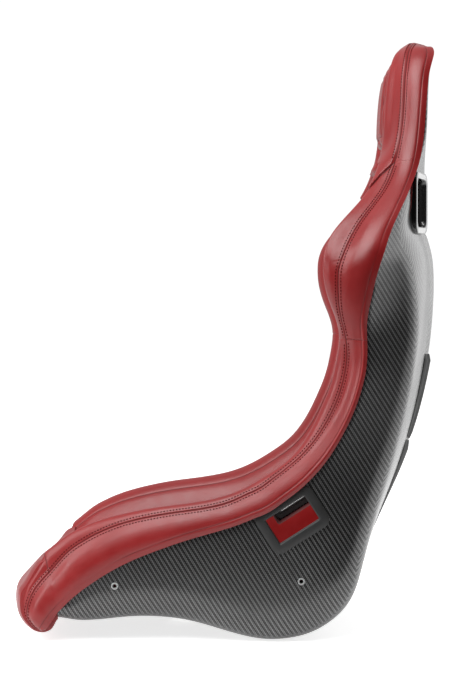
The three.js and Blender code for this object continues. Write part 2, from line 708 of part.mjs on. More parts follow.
// The ring that finishes the strap opening on top of the seat cushion. It lifts off with the cushion.
function makeCrotchUpper() {
  const { width, depth, corner } = CROTCH_SLOT;
  const window = { width: width - 2, height: depth - 2, radius: corner - BEZEL_WALL };
  return crotchFrame(frame(width + 20, depth + 20, corner + 6, 0, FLANGE, window)).translate(0, 0, 63);
}

add('crotch_bezel_lower', makeCrotchLower(), BLACK_PLASTIC);
add('crotch_bezel_upper', makeCrotchUpper(), BLACK_PLASTIC);

// ---- Side-mount inserts, guards -----------------------------------------------------------------------------

function makeInsert(at) {
  const points = [
    [INSERT_BORE, 0], [INSERT_RADIUS, 0], [INSERT_RADIUS, WALL + 1.6], [9, WALL + 1.6], [9, WALL + 3.4],
    [7, WALL + 3.4], [7, WALL + 9], [INSERT_BORE, WALL + 9], [INSERT_BORE, 0],
  ];
  const profile = points.map(([r, depth]) => new THREE.Vector2(r, depth));
  return new THREE.LatheGeometry(profile, 24).rotateZ(Math.PI / 2).translate(SIDE + 0.8, at.y, at.z);
}

mounts.forEach((at) => addPair(`side_insert_${at.name}`, makeInsert(at), STEEL));

// A rubber guard stuck to the outside of the back: thick at the top, thin at the bottom.
function makeGuard(from, to, half, thin, thick) {
  return loftStations([from, to], (at) => {
    const f = (at.baseZ - station(from).baseZ) / (station(to).baseZ - station(from).baseZ);
    const depth = thin + (thick - thin) * Math.max(0, Math.min(1, f));
    const line = shellSide(at).map(([x, h]) => [x, h - FIT]);
    const back = line.slice(0, 3);
    const edge = [half, heightOn(line, half)];
    const side = [...back, edge, [half - 6, -depth], [0, -depth - FIT]];
    return [...side, ...side.slice(1, -1).map(([x, h]) => [-x, h]).reverse()];
  });
}

add('rear_guard_upper', makeGuard(11.65, 13.65, 82, 1.6, 5), RUBBER);
add('rear_guard_lower', makeGuard(9.4, 11.6, 82, 1.6, 4), RUBBER);

// The origin is under the middle of the seat's box, on the surface it would stand on.
const whole = new THREE.Box3().setFromObject(seat);
seat.position.set(0, -(whole.min.y + whole.max.y) / 2, -whole.min.z);

export default seat;
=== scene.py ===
# Fixed-back racing seat: carbon shell, stitched leather rolls and cushions, harness bezels, side-mount inserts.
import math

import bmesh
import bpy
import numpy as np
from mathutils import Matrix, Vector
from mathutils.bvhtree import BVHTree


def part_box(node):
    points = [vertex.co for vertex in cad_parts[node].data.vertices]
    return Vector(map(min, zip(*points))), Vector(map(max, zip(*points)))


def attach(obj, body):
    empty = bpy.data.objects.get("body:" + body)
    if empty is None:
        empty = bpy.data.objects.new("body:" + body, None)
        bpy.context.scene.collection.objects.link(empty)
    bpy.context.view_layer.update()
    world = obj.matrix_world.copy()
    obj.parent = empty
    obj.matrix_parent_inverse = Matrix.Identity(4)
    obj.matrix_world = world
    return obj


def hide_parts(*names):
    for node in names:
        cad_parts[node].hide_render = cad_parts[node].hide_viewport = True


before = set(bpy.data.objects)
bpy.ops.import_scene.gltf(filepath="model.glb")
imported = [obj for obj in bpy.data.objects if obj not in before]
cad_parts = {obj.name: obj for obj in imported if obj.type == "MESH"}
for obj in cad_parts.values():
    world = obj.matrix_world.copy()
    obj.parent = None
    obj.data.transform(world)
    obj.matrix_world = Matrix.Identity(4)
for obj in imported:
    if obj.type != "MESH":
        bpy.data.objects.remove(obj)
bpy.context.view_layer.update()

# ---- Driving dimensions, in millimetres -------------------------------------------------------------------------

WALL = 4.0
SIDE = 242.0
ROLL_FIT = 1.2
HEM_PROUD = 10.0
NOSE_BULGE = 28.0
LIP_DIP = 18.0
FIT = 0.6
MOUNT_REAR = (126.0, 100.0)
MOUNT_FRONT = (MOUNT_REAR[0] - 290.0, MOUNT_REAR[1] - 8.0)
WAIST = 14.0
NECK = 23.0
SHELL_TOP = 27.3
RECESS = 88.0
RECESS_DEPTH = 46.0
PAD_LIFT = WALL + 3.8

COLUMNS = [
    "baseY", "baseZ", "crestY", "crestZ", "crestX", "seamX", "seamH", "hemX", "hemH",
    "cornerX", "cornerH", "cornerR", "inner", "pad", "bulge", "crown",
]
STATIONS = np.array([
    [-250, 38, -272, 139, 222, 240, 75, 248, 13, SIDE, 0, 48, 172, 66, NOSE_BULGE, 2.2],
    [-199, 31, -218, 181, 226, 245, 132, 252, 62, SIDE, 0, 48, 172, 68, 20, 2.2],
    [-133, 40, -154, 203, 230, 248, 152, 252, 91, SIDE, 0, 48, 172, 62, 6, 2.2],
    [-59, 35, -91, 215, 232, 249, 172, 252, 122, SIDE, 0, 55, 172, 58, 0, 2.2],
    [21, 11, -28, 223, 232, 249, 207, 252, 168, SIDE, 0, 55, 172, 60, 0, 2.2],
    [76, 1, 15, 234, 232, 248, 230, 252, 193, SIDE, 0, 55, 172, 58, 0, 2.2],
    [132, 8, 46, 248, 230, 247, 245, 252, 206, SIDE, 0, 55, 172, 54, 0, 2.2],
    [183, 38, 74, 265, 228, 246, 243, 252, 204, SIDE, 0, 55, 172, 50, 0, 2.2],
    [213, 75, 100, 283, 226, 244, 229, 252, 190, 238, 4, 50, 170, 48, 0, 2.2],
    [234, 138, 122, 305, 222, 243, 191, 252, 155, 228, 13, 42, 168, 47, 0, 2.2],
    [259, 198, 141, 334, 218, 241, 166, 251, 132, 213, 22, 32, 168, 46, 0, 2.2],
    [287, 266, 156, 365, 214, 237, 147, 250, 116, 203, 27, 25, 168, 46, 0, 2.2],
    [309, 336, 171, 401, 212, 234, 135, 249, 105, 198, 29, 20, 168, 46, 0, 2.2],
    [325, 406, 181, 441, 214, 235, 132, 250, 101, 197, 29, 20, 168, 46, 0, 2.2],
    [335, 470, 186, 477, 220, 242, 140, 254, 108, 198, 30, 20, 168, 46, 0, 2.2],
    [339, 515, 180, 505, 230, 253, 152, 262, 113, 200, 34, 20, 168, 46, 0, 2.2],
    [341, 556, 168, 536, 245, 266, 160, 270, 108, 204, 40, 20, 168, 46, 0, 2.2],
    [340, 596, 159, 575, 255, 275, 160, 276, 97, 208, 46, 20, 168, 46, 0, 2.2],
    [334, 625, 159, 601, 258, 273, 146, 274, 81, 209, 48, 20, 168, 44, 0, 2.2],
    [329, 645, 167, 629, 252, 261, 129, 263, 68, 207, 46, 20, 168, 42, 0, 1.8],
    [328, 667, 187, 657, 236, 244, 112, 246, 56, 200, 42, 20, 165, 40, 0, 1.4],
    [331, 696, 214, 686, 210, 220, 92, 219, 44, 182, 38, 18, 160, 38, 0, 1.4],
    [332, 726, 236, 716, 180, 193, 72, 188, 31, 160, 34, 16, 155, 38, 0, 1.4],
    [331, 761, 252, 751, 150, 167, 58, 164, 17, 145, 16, 12, 130, 42, 0, 1.8],
    [331, 803, 258, 797, 88, 150, 47, 151, 10, 139, 5, 10, 118, 44, 0, 2.2],
    [332, 853, 260, 845, 86, 142, 43, 144, 7, 133, 4, 10, 112, 44, 0, 2.2],
    [335, 903, 265, 894, 84, 133, 44, 130, 5, 120, 4, 10, 100, 44, 0, 2.2],
    [340, 934, 275, 928, 66, 112, 43, 107, 5, 94, 4, 10, 74, 42, 0, 2.2],
    [338, 948, 286, 945, 50, 92, 34, 88, 4, 76, 3, 8, 56, 36, 0, 2.2],
    [330, 957, 300, 956, 30, 62, 18, 58, 4, 46, 2, 6, 30, 24, 0, 2.2],
], float)
TOP = len(STATIONS) - 1
MIRROR = np.array([-1.0, 1.0, 1.0])
FAR = 50.0  # a distance in millimetres that counts as away from any seam

low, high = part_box("side_insert_rear_left")
ORIGIN = np.array([0.0, (low[1] + high[1]) / 2 - MOUNT_REAR[0] / 1000, (low[2] + high[2]) / 2 - MOUNT_REAR[1] / 1000])


def metres(points):
    return np.asarray(points, float) / 1000 + ORIGIN


def millimetres(co):
    return (np.asarray(co, float) - ORIGIN) * 1000


# ---- Camera and lamps -------------------------------------------------------------------------------------------

EYE = (3320.0, 100.4, 536.3)
AIM = (0.0, 14.6, 453.0)


def aimed(name, data, eye, aim):
    """An object at one point that looks at another."""
    thing = bpy.data.objects.new(name, data)
    bpy.context.scene.collection.objects.link(thing)
    thing.location = eye
    thing.rotation_mode = "QUATERNION"
    thing.rotation_quaternion = Vector(np.subtract(aim, eye)).to_track_quat("-Z", "Y")
    return thing


camera_data = bpy.data.cameras.new("camera")
camera_data.lens = 102.4
camera_data.sensor_width = 36.0
camera_data.clip_end = 60
bpy.context.scene.camera = aimed("camera", camera_data, metres(EYE), metres(AIM))


def area_light(name, place, aim, size, power):
    data = bpy.data.lights.new(name, "AREA")
    data.shape = "RECTANGLE"
    data.size, data.size_y = size
    data.energy = power
    aimed(name, data, place, aim)


# ---- Node helpers -----------------------------------------------------------------------------------------------


class Nodes:
    """A short way to write node trees: most calls add one node and return its first output."""

    def __init__(self, tree):
        self.tree = tree

    def set(self, node, inputs):
        for key, value in dict(inputs).items():
            if isinstance(value, bpy.types.NodeSocket):
                self.tree.links.new(value, node.inputs[key])
            else:
                node.inputs[key].default_value = value

    def add(self, kind, inputs=(), out=0, **settings):
        node = self.tree.nodes.new(kind)
        for key, value in settings.items():
            setattr(node, key, value)
        self.set(node, inputs)
        return node.outputs if out is None else node.outputs[out]

    def where(self):
        return self.add("ShaderNodeTexCoord", out=3)

    def pointiness(self):
        return self.add("ShaderNodeNewGeometry", out=7)

    def to_camera(self):
        return self.add("ShaderNodeLightPath")

    def axes(self, vector):
        return self.add("ShaderNodeSeparateXYZ", {0: vector}, out=None)

    def math(self, operation, *values):
        return self.add("ShaderNodeMath", enumerate(values), operation=operation)

    def total(self, *terms):
        """The sum of values, each times its weight."""
        parts = [self.math("MULTIPLY", value, weight) if weight != 1 else value for value, weight in terms]
        found = parts[0]
        for part in parts[1:]:
            found = self.math("ADD", found, part)
        return found

    def mix(self, factor, a, b):
        return self.add("ShaderNodeMix", {0: factor, 6: a, 7: b}, out=2, data_type="RGBA")

    def between(self, factor, a, b):
        return self.add("ShaderNodeMix", {0: factor, 2: a, 3: b})

    def span(self, value, from_low, from_high, to_low=0.0, to_high=1.0, smooth=False):
        inputs = {"Value": value, "From Min": from_low, "From Max": from_high, "To Min": to_low, "To Max": to_high}
        return self.add("ShaderNodeMapRange", inputs, interpolation_type="SMOOTHSTEP" if smooth else "LINEAR")

    def noise(self, where, scale, detail=2.0, roughness=0.5):
        inputs = {"Vector": where, "Scale": scale, "Detail": detail, "Roughness": roughness}
        return self.add("ShaderNodeTexNoise", inputs)

    def bump(self, height, distance, strength):
        return self.add("ShaderNodeBump", {"Height": height, "Distance": distance, "Strength": strength})


def new_material(name):
    material = bpy.data.materials.new(name)
    material.use_nodes = True
    return material, Nodes(material.node_tree), material.node_tree.nodes["Principled BSDF"]


def grey(value):
    return (value, value, value, 1.0)


def leather(name, deep, lit):
    """Fine-grained leather between two tones, with painted shade in the grooves of sewn seams where the attribute
    seam_mm is small.
    """
    material, n, shader = new_material(name)
    where = n.where()
    seam = n.add("ShaderNodeAttribute", out=2, attribute_name="seam_mm")
    mottle = n.noise(where, 60.0, 3.0, 0.6)
    tone = n.total((n.noise(where, 7.0, 3.0, 0.55), 0.7), (mottle, 0.3))
    colour = n.mix(n.span(tone, 0.3, 0.7), deep, lit)
    worn = tuple(min(1.0, c * 1.5 + 0.01) for c in lit[:3]) + (1.0,)
    colour = n.mix(n.span(n.pointiness(), 0.51, 0.58, 0.0, 0.3), colour, worn)
    # Painted shade: the colour is darkened along the seam grooves, where shade falls.
    groove = n.span(seam, 0.2, 1.35, 1.0, 0.0, smooth=True)
    shaded = tuple(c * 0.28 for c in deep[:3]) + (1.0,)
    grain = n.add("ShaderNodeTexVoronoi", {"Vector": where, "Scale": 650.0, "Randomness": 0.9}, feature="F1")
    height = n.total((grain, 0.3), (n.noise(where, 180.0, 4.0, 0.6), 0.9), (groove, -3.0))
    n.set(shader, {
        "Base Color": n.mix(n.math("MULTIPLY", groove, 0.85), colour, shaded),
        "Normal": n.bump(height, 0.0003, 0.17),
        "Roughness": n.total((n.span(mottle, 0.3, 0.7, 0.31, 0.40), 1), (grain, 0.06), (groove, 0.5)),
        "Specular IOR Level": 0.5,
    })
    return material


def carbon():
    """Clear-coated 2x2 twill, with painted reflections on the warp tows and painted shade between tows. The map named
    weave counts tows, so one unit is one tow.
    """
    material, n, shader = new_material("carbon_twill")
    where = n.add("ShaderNodeUVMap", uv_map="weave")
    u, v, _ = n.axes(where)
    step = n.math("ADD", n.math("FLOOR", u), n.math("FLOOR", v))
    warp = n.math("LESS_THAN", n.math("FLOORED_MODULO", step, 4.0), 1.5)

    def tow(value):
        off = n.math("SUBTRACT", n.math("MULTIPLY", n.math("FRACT", value), 2.0), 1.0)
        return n.math("SUBTRACT", 1.0, n.math("MULTIPLY", off, off))

    def fibres(*stretch):
        return n.noise(n.add("ShaderNodeVectorMath", {0: where, 1: stretch}, operation="MULTIPLY"), 1.0, 1.0)

    profile = n.between(warp, tow(v), tow(u))
    fibre = n.between(warp, fibres(0.6, 9.0, 1.0), fibres(9.0, 0.6, 1.0))
    patch = n.noise(where, 0.02, 2.0)
    # Painted reflection: warp tows are painted lighter than weft tows, brightest on their crests, for the light their
    # fibres catch.
    painted_warp_glint = n.math("MULTIPLY", warp, n.span(profile, 0.25, 0.95, smooth=True))
    base = n.mix(painted_warp_glint, grey(0.0015), grey(0.20))
    base = n.mix(n.span(fibre, 0.35, 0.65, 0.0, 0.35), base, grey(0.01))
    base = n.mix(n.span(patch, 0.35, 0.65, 0.0, 0.2), base, grey(0.02))
    # Painted shade: the dips between the rounded tows are darkened.
    painted_gap_shade = n.span(profile, 0.1, 0.65, 1.0, 0.0, smooth=True)
    n.set(shader, {
        "Base Color": n.mix(painted_gap_shade, base, grey(0.003)),
        "Roughness": n.span(fibre, 0.3, 0.7, 0.32, 0.46),
        "Metallic": 0.8,
        "Normal": n.bump(n.math("POWER", profile, 0.5), 0.0002, 0.5),
        "Coat Weight": 0.85,
        "Coat Roughness": 0.2,
        "Coat Normal": n.bump(n.noise(n.where(), 45.0, 2.0), 0.0004, 0.25),
    })
    return material


def moulded(name, tone, rough, grain, coat=0.0):
    """Moulded plastic or rubber: fine grain, faint handling marks and lighter worn edges."""
    material, n, shader = new_material(name)
    where = n.where()
    marks = n.noise(where, 35.0, 5.0, 0.65)
    colour = n.mix(n.span(marks, 0.35, 0.7), grey(tone), grey(tone * 1.7))
    n.set(shader, {
        "Base Color": n.mix(n.span(n.pointiness(), 0.52, 0.6, 0.0, 0.5), colour, grey(tone * 3 + 0.01)),
        "Roughness": n.span(marks, 0.3, 0.7, rough, rough + 0.1),
        "Normal": n.bump(n.noise(where, 1500.0, 2.0, 0.6), grain, 0.5),
        "Coat Weight": coat,
        "Coat Roughness": 0.05,
    })
    return material


def steel():
    material, n, shader = new_material("plated_steel")
    marks = n.noise(n.where(), 400.0, 4.0, 0.6)
    n.set(shader, {
        "Base Color": n.mix(n.span(marks, 0.3, 0.7), grey(0.42), grey(0.68)),
        "Roughness": n.span(marks, 0.3, 0.7, 0.22, 0.38),
        "Metallic": 1.0,
        "Normal": n.bump(marks, 0.0001, 0.3),
    })
    return material


def woven_tape():
    material, n, shader = new_material("woven_tape")
    where = n.where()
    loops = n.add("ShaderNodeTexVoronoi", {"Vector": where, "Scale": 900.0}, feature="F1")
    n.set(shader, {
        "Base Color": n.mix(n.span(n.noise(where, 90.0, 3.0), 0.3, 0.7), grey(0.006), grey(0.022)),
        "Roughness": 0.95,
        "Sheen Weight": 0.3,
        "Normal": n.bump(loops, 0.0008, 0.8),
    })
    return material


def thread():
    material, n, shader = new_material("red_thread")
    strand = n.noise(n.where(), 900.0, 2.0)
    n.set(shader, {
        "Base Color": n.mix(strand, (0.060, 0.0020, 0.0024, 1), (0.110, 0.0040, 0.0045, 1)),
        "Roughness": 0.8,
        "Specular IOR Level": 0.15,
        "Normal": n.bump(strand, 0.0003, 0.6),
    })
    return material


M_LEATHER = leather("red_leather", (0.166, 0.0034, 0.0038, 1.0), (0.218, 0.0048, 0.0054, 1.0))
M_CARBON = carbon()
M_PLASTIC = moulded("satin_black_plastic", 0.006, 0.42, 0.00008)
M_GLOSS = moulded("gloss_black_plastic", 0.004, 0.10, 0.00001, coat=1.0)
M_RUBBER = moulded("guard_rubber", 0.012, 0.6, 0.00015)
M_STEEL = steel()
M_TAPE = woven_tape()
M_THREAD = thread()

# ---- Stations ---------------------------------------------------------------------------------------------------


def monotone_slopes(values):
    steps = np.diff(values)
    before = np.concatenate([steps[:1], steps])
    after = np.concatenate([steps, steps[-1:]])
    product = before * after
    total = before + after
    return np.where(product <= 0, 0.0, 2 * product / np.where(total == 0, 1, total))


SLOPES = np.stack([monotone_slopes(STATIONS[:, c]) for c in range(len(COLUMNS))], axis=1)
SMOOTHING = 0.32  # stations over which neighbouring sections are averaged, so that highlights run evenly


def hermite(a, b, slope_a, slope_b, f):
    return a + f * (slope_a + f * (3 * (b - a) - 2 * slope_a - slope_b + f * (slope_a + slope_b - 2 * (b - a))))


def raw_station(t):
    i = np.clip(np.floor(t).astype(int), 0, TOP - 1)
    return hermite(STATIONS[i], STATIONS[i + 1], SLOPES[i], SLOPES[i + 1], (t - i)[:, None])


def station(t):
    """The columns at each station of t, with reach and the unit direction from base to crest."""
    t = np.atleast_1d(np.asarray(t, float))
    spread = np.minimum(np.minimum(t, TOP - t), 1.0) * SMOOTHING * 2
    total = sum(w * raw_station(t + k * spread) for k, w in ((-1, 0.1), (-0.5, 0.2), (0, 0.4), (0.5, 0.2), (1, 0.1)))
    at = {name: total[:, c] for c, name in enumerate(COLUMNS)}
    at["t"] = t
    at["reach"] = np.hypot(at["crestY"] - at["baseY"], at["crestZ"] - at["baseZ"])
    at["ny"] = (at["crestY"] - at["baseY"]) / at["reach"]
    at["nz"] = (at["crestZ"] - at["baseZ"]) / at["reach"]
    return at


def place(at, outline):
    """Outlines (stations, points, [x, h]) to design coordinates."""
    x, h = outline[..., 0], outline[..., 1]
    bulge = at["bulge"][:, None] * np.maximum(0, 1 - (x / SIDE) ** 2)
    y = at["baseY"][:, None] + at["ny"][:, None] * h - bulge
    z = at["baseZ"][:, None] + at["nz"][:, None] * h
    return np.stack([x, y, z], axis=-1)


def points(*pairs):
    """Pairs of (x, h), each an array over stations or a number, to an array (stations, points, 2)."""
    count = max(np.size(value) for pair in pairs for value in pair)
    return np.stack([np.stack([np.broadcast_to(v, count) for v in pair], axis=-1) for pair in pairs], axis=1)


def spline(control, counts, eases=None):
    """A smooth curve through control (rows, k, d). Segment i gets counts[i] samples."""
    d = np.maximum(np.linalg.norm(np.diff(control, axis=1), axis=2), 1e-6)[..., None]
    slope = np.diff(control, axis=1) / d
    inner = (slope[:, :-1] * d[:, 1:] + slope[:, 1:] * d[:, :-1]) / (d[:, 1:] + d[:, :-1])
    tangent = np.concatenate([slope[:, :1], inner, slope[:, -1:]], axis=1)
    parts = []
    for i, count in enumerate(counts):
        f = np.arange(count) / count
        ease = eases[i] if eases else 1.0
        f = f**ease if ease > 0 else 1 - (1 - f) ** -ease
        ends = (control[:, i : i + 1], control[:, i + 1 : i + 2])
        slopes = (tangent[:, i : i + 1] * d[:, i : i + 1], tangent[:, i + 1 : i + 2] * d[:, i : i + 1])
        parts.append(hermite(*ends, *slopes, f[None, :, None]))
    return np.concatenate([*parts, control[:, -1:]], axis=1)


def smoothstep(value, low_edge, high_edge):
    f = np.clip((value - low_edge) / (high_edge - low_edge), 0, 1)
    return f * f * (3 - 2 * f)


def mirrored(line):
    return (line * [-1, 1])[:, ::-1]


def closed_half(side):
    """A half section that starts and ends on the centre line, with its mirror image, as a closed loop."""
    return np.concatenate([side, mirrored(side)[:, 1:-1]], axis=1)


def distance_along(grid, axis=0):
    """How far each point of a grid lies from the first row or column, along the grid."""
    steps = np.linalg.norm(np.diff(grid, axis=axis), axis=-1)
    return np.concatenate([np.zeros_like(np.take(steps, [0], axis=axis)), np.cumsum(steps, axis=axis)], axis=axis)


def resampled(stops, run, line):
    """Each coordinate of a line at the given distances along it."""
    return np.stack([np.interp(stops, run, line[:, k]) for k in range(3)], axis=-1)


def unit(vectors):
    return vectors / np.maximum(np.linalg.norm(vectors, axis=-1, keepdims=True), 1e-9)


def grid_normals(grid):
    """Unit normals of a grid of points, from its neighbours."""
    return unit(np.cross(np.gradient(grid, axis=0), np.gradient(grid, axis=1)))


def waves(grid, lengths, seed):
    """Gentle unevenness of a padded surface: a few seeded sine waves, from -1 to 1."""
    rng = np.random.default_rng(seed)
    total = np.zeros(grid.shape[:-1])
    for length in lengths:
        for _ in range(3):
            direction = rng.normal(size=3)
            direction *= 2 * math.pi / length / np.linalg.norm(direction)
            total += np.sin(grid @ direction + rng.uniform(0, 2 * math.pi))
    return total / (3 * len(lengths))


def pillow(distance, depth, width):
    """A sewn line's depth at a distance from it."""
    return -depth * np.exp(-((distance / width) ** 2))


# ---- Meshes -----------------------------------------------------------------------------------------------------

SHARP = math.radians(50)  # edges that turn more than this are shaded as edges


def link_mesh(name, vertices, faces, material, smooth=True):
    mesh = bpy.data.meshes.new(name)
    mesh.from_pydata(np.asarray(vertices, float).tolist(), [], [list(map(int, f)) for f in faces])
    mesh.materials.append(material)
    if smooth:
        mesh.shade_smooth()
    piece = bpy.data.objects.new(name, mesh)
    bpy.context.scene.collection.objects.link(piece)
    return piece


def read(mesh, key="co"):
    found = np.empty(len(mesh.vertices) * 3)
    mesh.vertices.foreach_get(key, found)
    return found.reshape(-1, 3)


def write(mesh, co):
    mesh.vertices.foreach_set("co", co.ravel())


def set_seams(mesh, distance):
    layer = mesh.attributes.new("seam_mm", "FLOAT", "POINT")
    layer.data.foreach_set("value", np.asarray(distance, np.float32).ravel())


def outward(piece):
    """Closes stray doubles and turns every face outwards."""
    made = bmesh.new()
    made.from_mesh(piece.data)
    bmesh.ops.remove_doubles(made, verts=made.verts, dist=1e-6)
    bmesh.ops.recalc_face_normals(made, faces=made.faces)
    if made.calc_volume(signed=True) < 0:
        bmesh.ops.reverse_faces(made, faces=made.faces)
    made.to_mesh(piece.data)
    made.free()


def grid_faces(rows, columns):
    i, j = np.meshgrid(np.arange(rows - 1), np.arange(columns), indexing="ij")
    a = i * columns + j
    b = i * columns + (j + 1) % columns
    return np.stack([a, b, b + columns, a + columns], axis=-1).reshape(-1, 4)


def loft(name, sections, material, seams=None):
    """A closed body through sections (rows, columns, 3) in design millimetres, with flat caps."""
    rows, columns = sections.shape[:2]
    faces = grid_faces(rows, columns).tolist()
    faces.append(list(range(columns)))
    faces.append(list(range((rows - 1) * columns, rows * columns)))
    piece = link_mesh(name, metres(sections).reshape(-1, 3), faces, material)
    if seams is not None:
        set_seams(piece.data, seams)
    outward(piece)
    piece.data.set_sharp_from_angle(angle=SHARP)
    return piece


def apply_modifiers(piece):
    graph = bpy.context.evaluated_depsgraph_get()
    mesh = bpy.data.meshes.new_from_object(piece.evaluated_get(graph), preserve_all_data_layers=True, depsgraph=graph)
    piece.modifiers.clear()
    piece.data = mesh


def cut(piece, cutters):
    for cutter in cutters:
        modifier = piece.modifiers.new("cut", "BOOLEAN")
        modifier.operation = "DIFFERENCE"
        modifier.solver = "EXACT"
        modifier.object = cutter
    apply_modifiers(piece)
    piece.data.set_sharp_from_angle(angle=SHARP)
    for cutter in cutters:
        bpy.data.objects.remove(cutter)


def assign(piece, body, slot, *nodes, fill=None):
    """Puts a finished piece on its body and hides the CAD nodes it stands for; slot and fill are not used."""
    if nodes:
        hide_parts(*nodes)
    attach(piece, body)


# ---- Belt slots and cutters -------------------------------------------------------------------------------------

SIDES = (("left", False), ("right", True))
SATIN, GLOSS = "satin_black_plastic", "gloss_black_plastic"
PLASTICS = {SATIN: M_PLASTIC, GLOSS: M_GLOSS}
CORNER_SEGMENTS = 10
BEZEL_WALL = 3.0
FLANGE = 2.4
LOOSE = BEZEL_WALL + FIT  # an opening is this much wider than the window of the bezel in it


def rounded_rectangle(width, height, radius, z):
    w, h = width / 2, height / 2
    r = max(0.05, min(radius, w - 0.05, h - 0.05))
    turn = np.linspace(0, math.pi / 2, CORNER_SEGMENTS + 1)
    corners = [(w - r, h - r, turn), (r - w, h - r, turn + math.pi / 2),
               (r - w, r - h, turn + math.pi), (w - r, r - h, turn + 3 * math.pi / 2)]
    return np.concatenate([np.stack([x + r * np.cos(a), y + r * np.sin(a), z + 0 * a], axis=-1) for x, y, a in corners])


def rotation(axis, degrees):
    return np.array(Matrix.Rotation(math.radians(degrees), 3, axis))


class Slot:
    """A belt slot: the size of its window and the turned frame its bezels and cutters are drawn in."""

    def __init__(self, centre, width, height, corner, matrix):
        self.centre, self.matrix = np.array(centre), matrix
        self.width, self.height, self.corner = width, height, corner

    def loops(self, profile, mirror):
        """Loops round the window. Each profile point is (how far outside the window, depth, corner radius)."""
        drawn = [rounded_rectangle(self.width + 2 * grow, self.height + 2 * grow, r, z) for grow, z, r in profile]
        return (np.stack(drawn) @ self.matrix.T + self.centre) * (MIRROR if mirror else 1)

    def prism(self, grow, low_end, high_end, mirror=False, corner=None):
        r = corner or self.corner
        return loft("cutter", self.loops([(grow, low_end, r), (grow, high_end, r)], mirror), M_PLASTIC)

    def bezel(self, name, profile, plastic, mirror=False, body="root"):
        loops = self.loops(profile, mirror)
        rows, columns = loops.shape[:2]
        faces = grid_faces(rows + 1, columns) % (rows * columns)
        piece = link_mesh(name, metres(loops).reshape(-1, 3), faces, PLASTICS[plastic])
        outward(piece)
        bevel = piece.modifiers.new("edges", "BEVEL")
        bevel.width = 0.0005
        bevel.segments = 2
        bevel.limit_method = "ANGLE"
        bevel.angle_limit = math.radians(40)
        bevel.harden_normals = True
        assign(piece, body, plastic, name)


LAP = Slot((0.0, 112.0, 196.0), 72.0, 43.0, 4.0, rotation("X", 122.8) @ rotation("Y", 90))
SHOULDER = Slot((103.0, 307.5, 692.0), 68.0, 76.0, 14.0, rotation("Z", -15.5) @ rotation("X", 90))
CROTCH = Slot((0.0, -70.0, 36.0), 90.0, 34.0, 12.0, np.eye(3))
LAP_BORDER = 15.0


def mount_bars(radius, inner, outer, mirror):
    """Cutters for the two inserts of one side, from so far inside the shell's side to so far outside it."""
    turn = np.linspace(0, 2 * math.pi, 32, endpoint=False)
    bars = []
    for y, z in (MOUNT_REAR, MOUNT_FRONT):
        circle = (y + radius * np.cos(turn), z + radius * np.sin(turn))
        ends = (-SIDE - outer, -SIDE + inner) if mirror else (SIDE - inner, SIDE + outer)
        bars.append(loft("cutter", np.stack([np.stack([x + 0 * turn, *circle], axis=-1) for x in ends]), M_PLASTIC))
    return bars


# ---- Shell ------------------------------------------------------------------------------------------------------

FLOOR_STEPS = 18
CORNER_STEPS = 10
WALL_STEPS = 10
SPINE_HALF = 66.0
SPINE_RISE = 5.0
TOW = 2.3
WEAVE_TURN = math.radians(-12)
WEAVE_STEP = 6  # rows of the shell between the points the weave is laid along


def floor_height(at, x):
    return at["cornerH"][:, None] * (np.abs(x) / at["cornerX"][:, None]) ** at["crown"][:, None]


def rim_of(at):
    return at["hemX"] - HEM_PROUD - 5, at["hemH"] + 0.5 * (at["reach"] - at["hemH"])


def bend_of(at):
    return at["hemX"] - HEM_PROUD, np.maximum(at["hemH"], at["cornerH"] + 0.45 * (rim_of(at)[1] - at["cornerH"]))


def shell_side(at):
    """The shell's outer face from the centre line to the rim."""
    start = at["cornerX"] - at["cornerR"]
    bend = np.stack(bend_of(at), axis=-1)
    rim = np.stack(rim_of(at), axis=-1)
    corner = np.stack([at["cornerX"], at["cornerH"]], axis=-1)
    wall = np.linalg.norm(bend - corner, axis=1)
    rise = np.minimum(at["cornerR"], 0.7 * wall) / wall
    x = start[:, None] * np.linspace(0, 1, FLOOR_STEPS + 1)[None, :-1]
    floor = np.stack([x, floor_height(at, x)], axis=-1)
    first = np.stack([start, floor_height(at, start[:, None])[:, 0]], axis=-1)
    last = corner + (bend - corner) * rise[:, None]
    f = np.linspace(0, 1, CORNER_STEPS + 1)[None, :, None]
    arc = (1 - f) ** 2 * first[:, None] + 2 * f * (1 - f) * corner[:, None] + f * f * last[:, None]
    g = np.linspace(0, 1, WALL_STEPS + 1)[None, 1:, None]
    up = last[:, None] + (bend - last)[:, None] * g
    over = bend[:, None] + (rim - bend)[:, None] * g[:, 1::2]
    return np.concatenate([floor, arc, up, over], axis=1)


def moved_in(line, distance):
    before = np.concatenate([line[:, :1], line[:, :-1]], axis=1)
    after = np.concatenate([line[:, 1:], line[:, -1:]], axis=1)
    d = after - before
    normal = np.stack([-d[..., 1], d[..., 0]], axis=-1) / np.linalg.norm(d, axis=-1, keepdims=True)
    normal[:, 0] = [0, 1]
    return line + normal * distance


def height_on(line, x):
    """Height of each row's line at half width x, one value a row."""
    x = np.broadcast_to(x, len(line))
    return np.array([np.interp(abs(px), row[:, 0], row[:, 1]) for px, row in zip(x, line)])


def hidden_side(at, columns):
    """The padding's side against the shell: some columns of its inner face, then over the rim to the hem."""
    clear = WALL + ROLL_FIT
    (rim_x, rim_h), (bend_x, bend_h) = rim_of(at), bend_of(at)
    over = points(
        (rim_x - clear - 0.5, rim_h + ROLL_FIT),
        (rim_x + ROLL_FIT, rim_h + ROLL_FIT),
        (bend_x + ROLL_FIT, np.maximum(bend_h, at["hemH"] + 1)),
        (bend_x + ROLL_FIT, at["hemH"]),
    )
    return np.concatenate([moved_in(shell_side(at), clear)[:, columns], over], axis=1)


def spine(at, x):
    """How far the panel on the middle of the back stands out."""
    across = 1 - smoothstep(np.abs(x), SPINE_HALF - 9, SPINE_HALF + 3)
    along = smoothstep(at["t"], 9.0, 12.5) * (1 - smoothstep(at["t"], 18.6, 19.6))
    return SPINE_RISE * across * along[:, None]


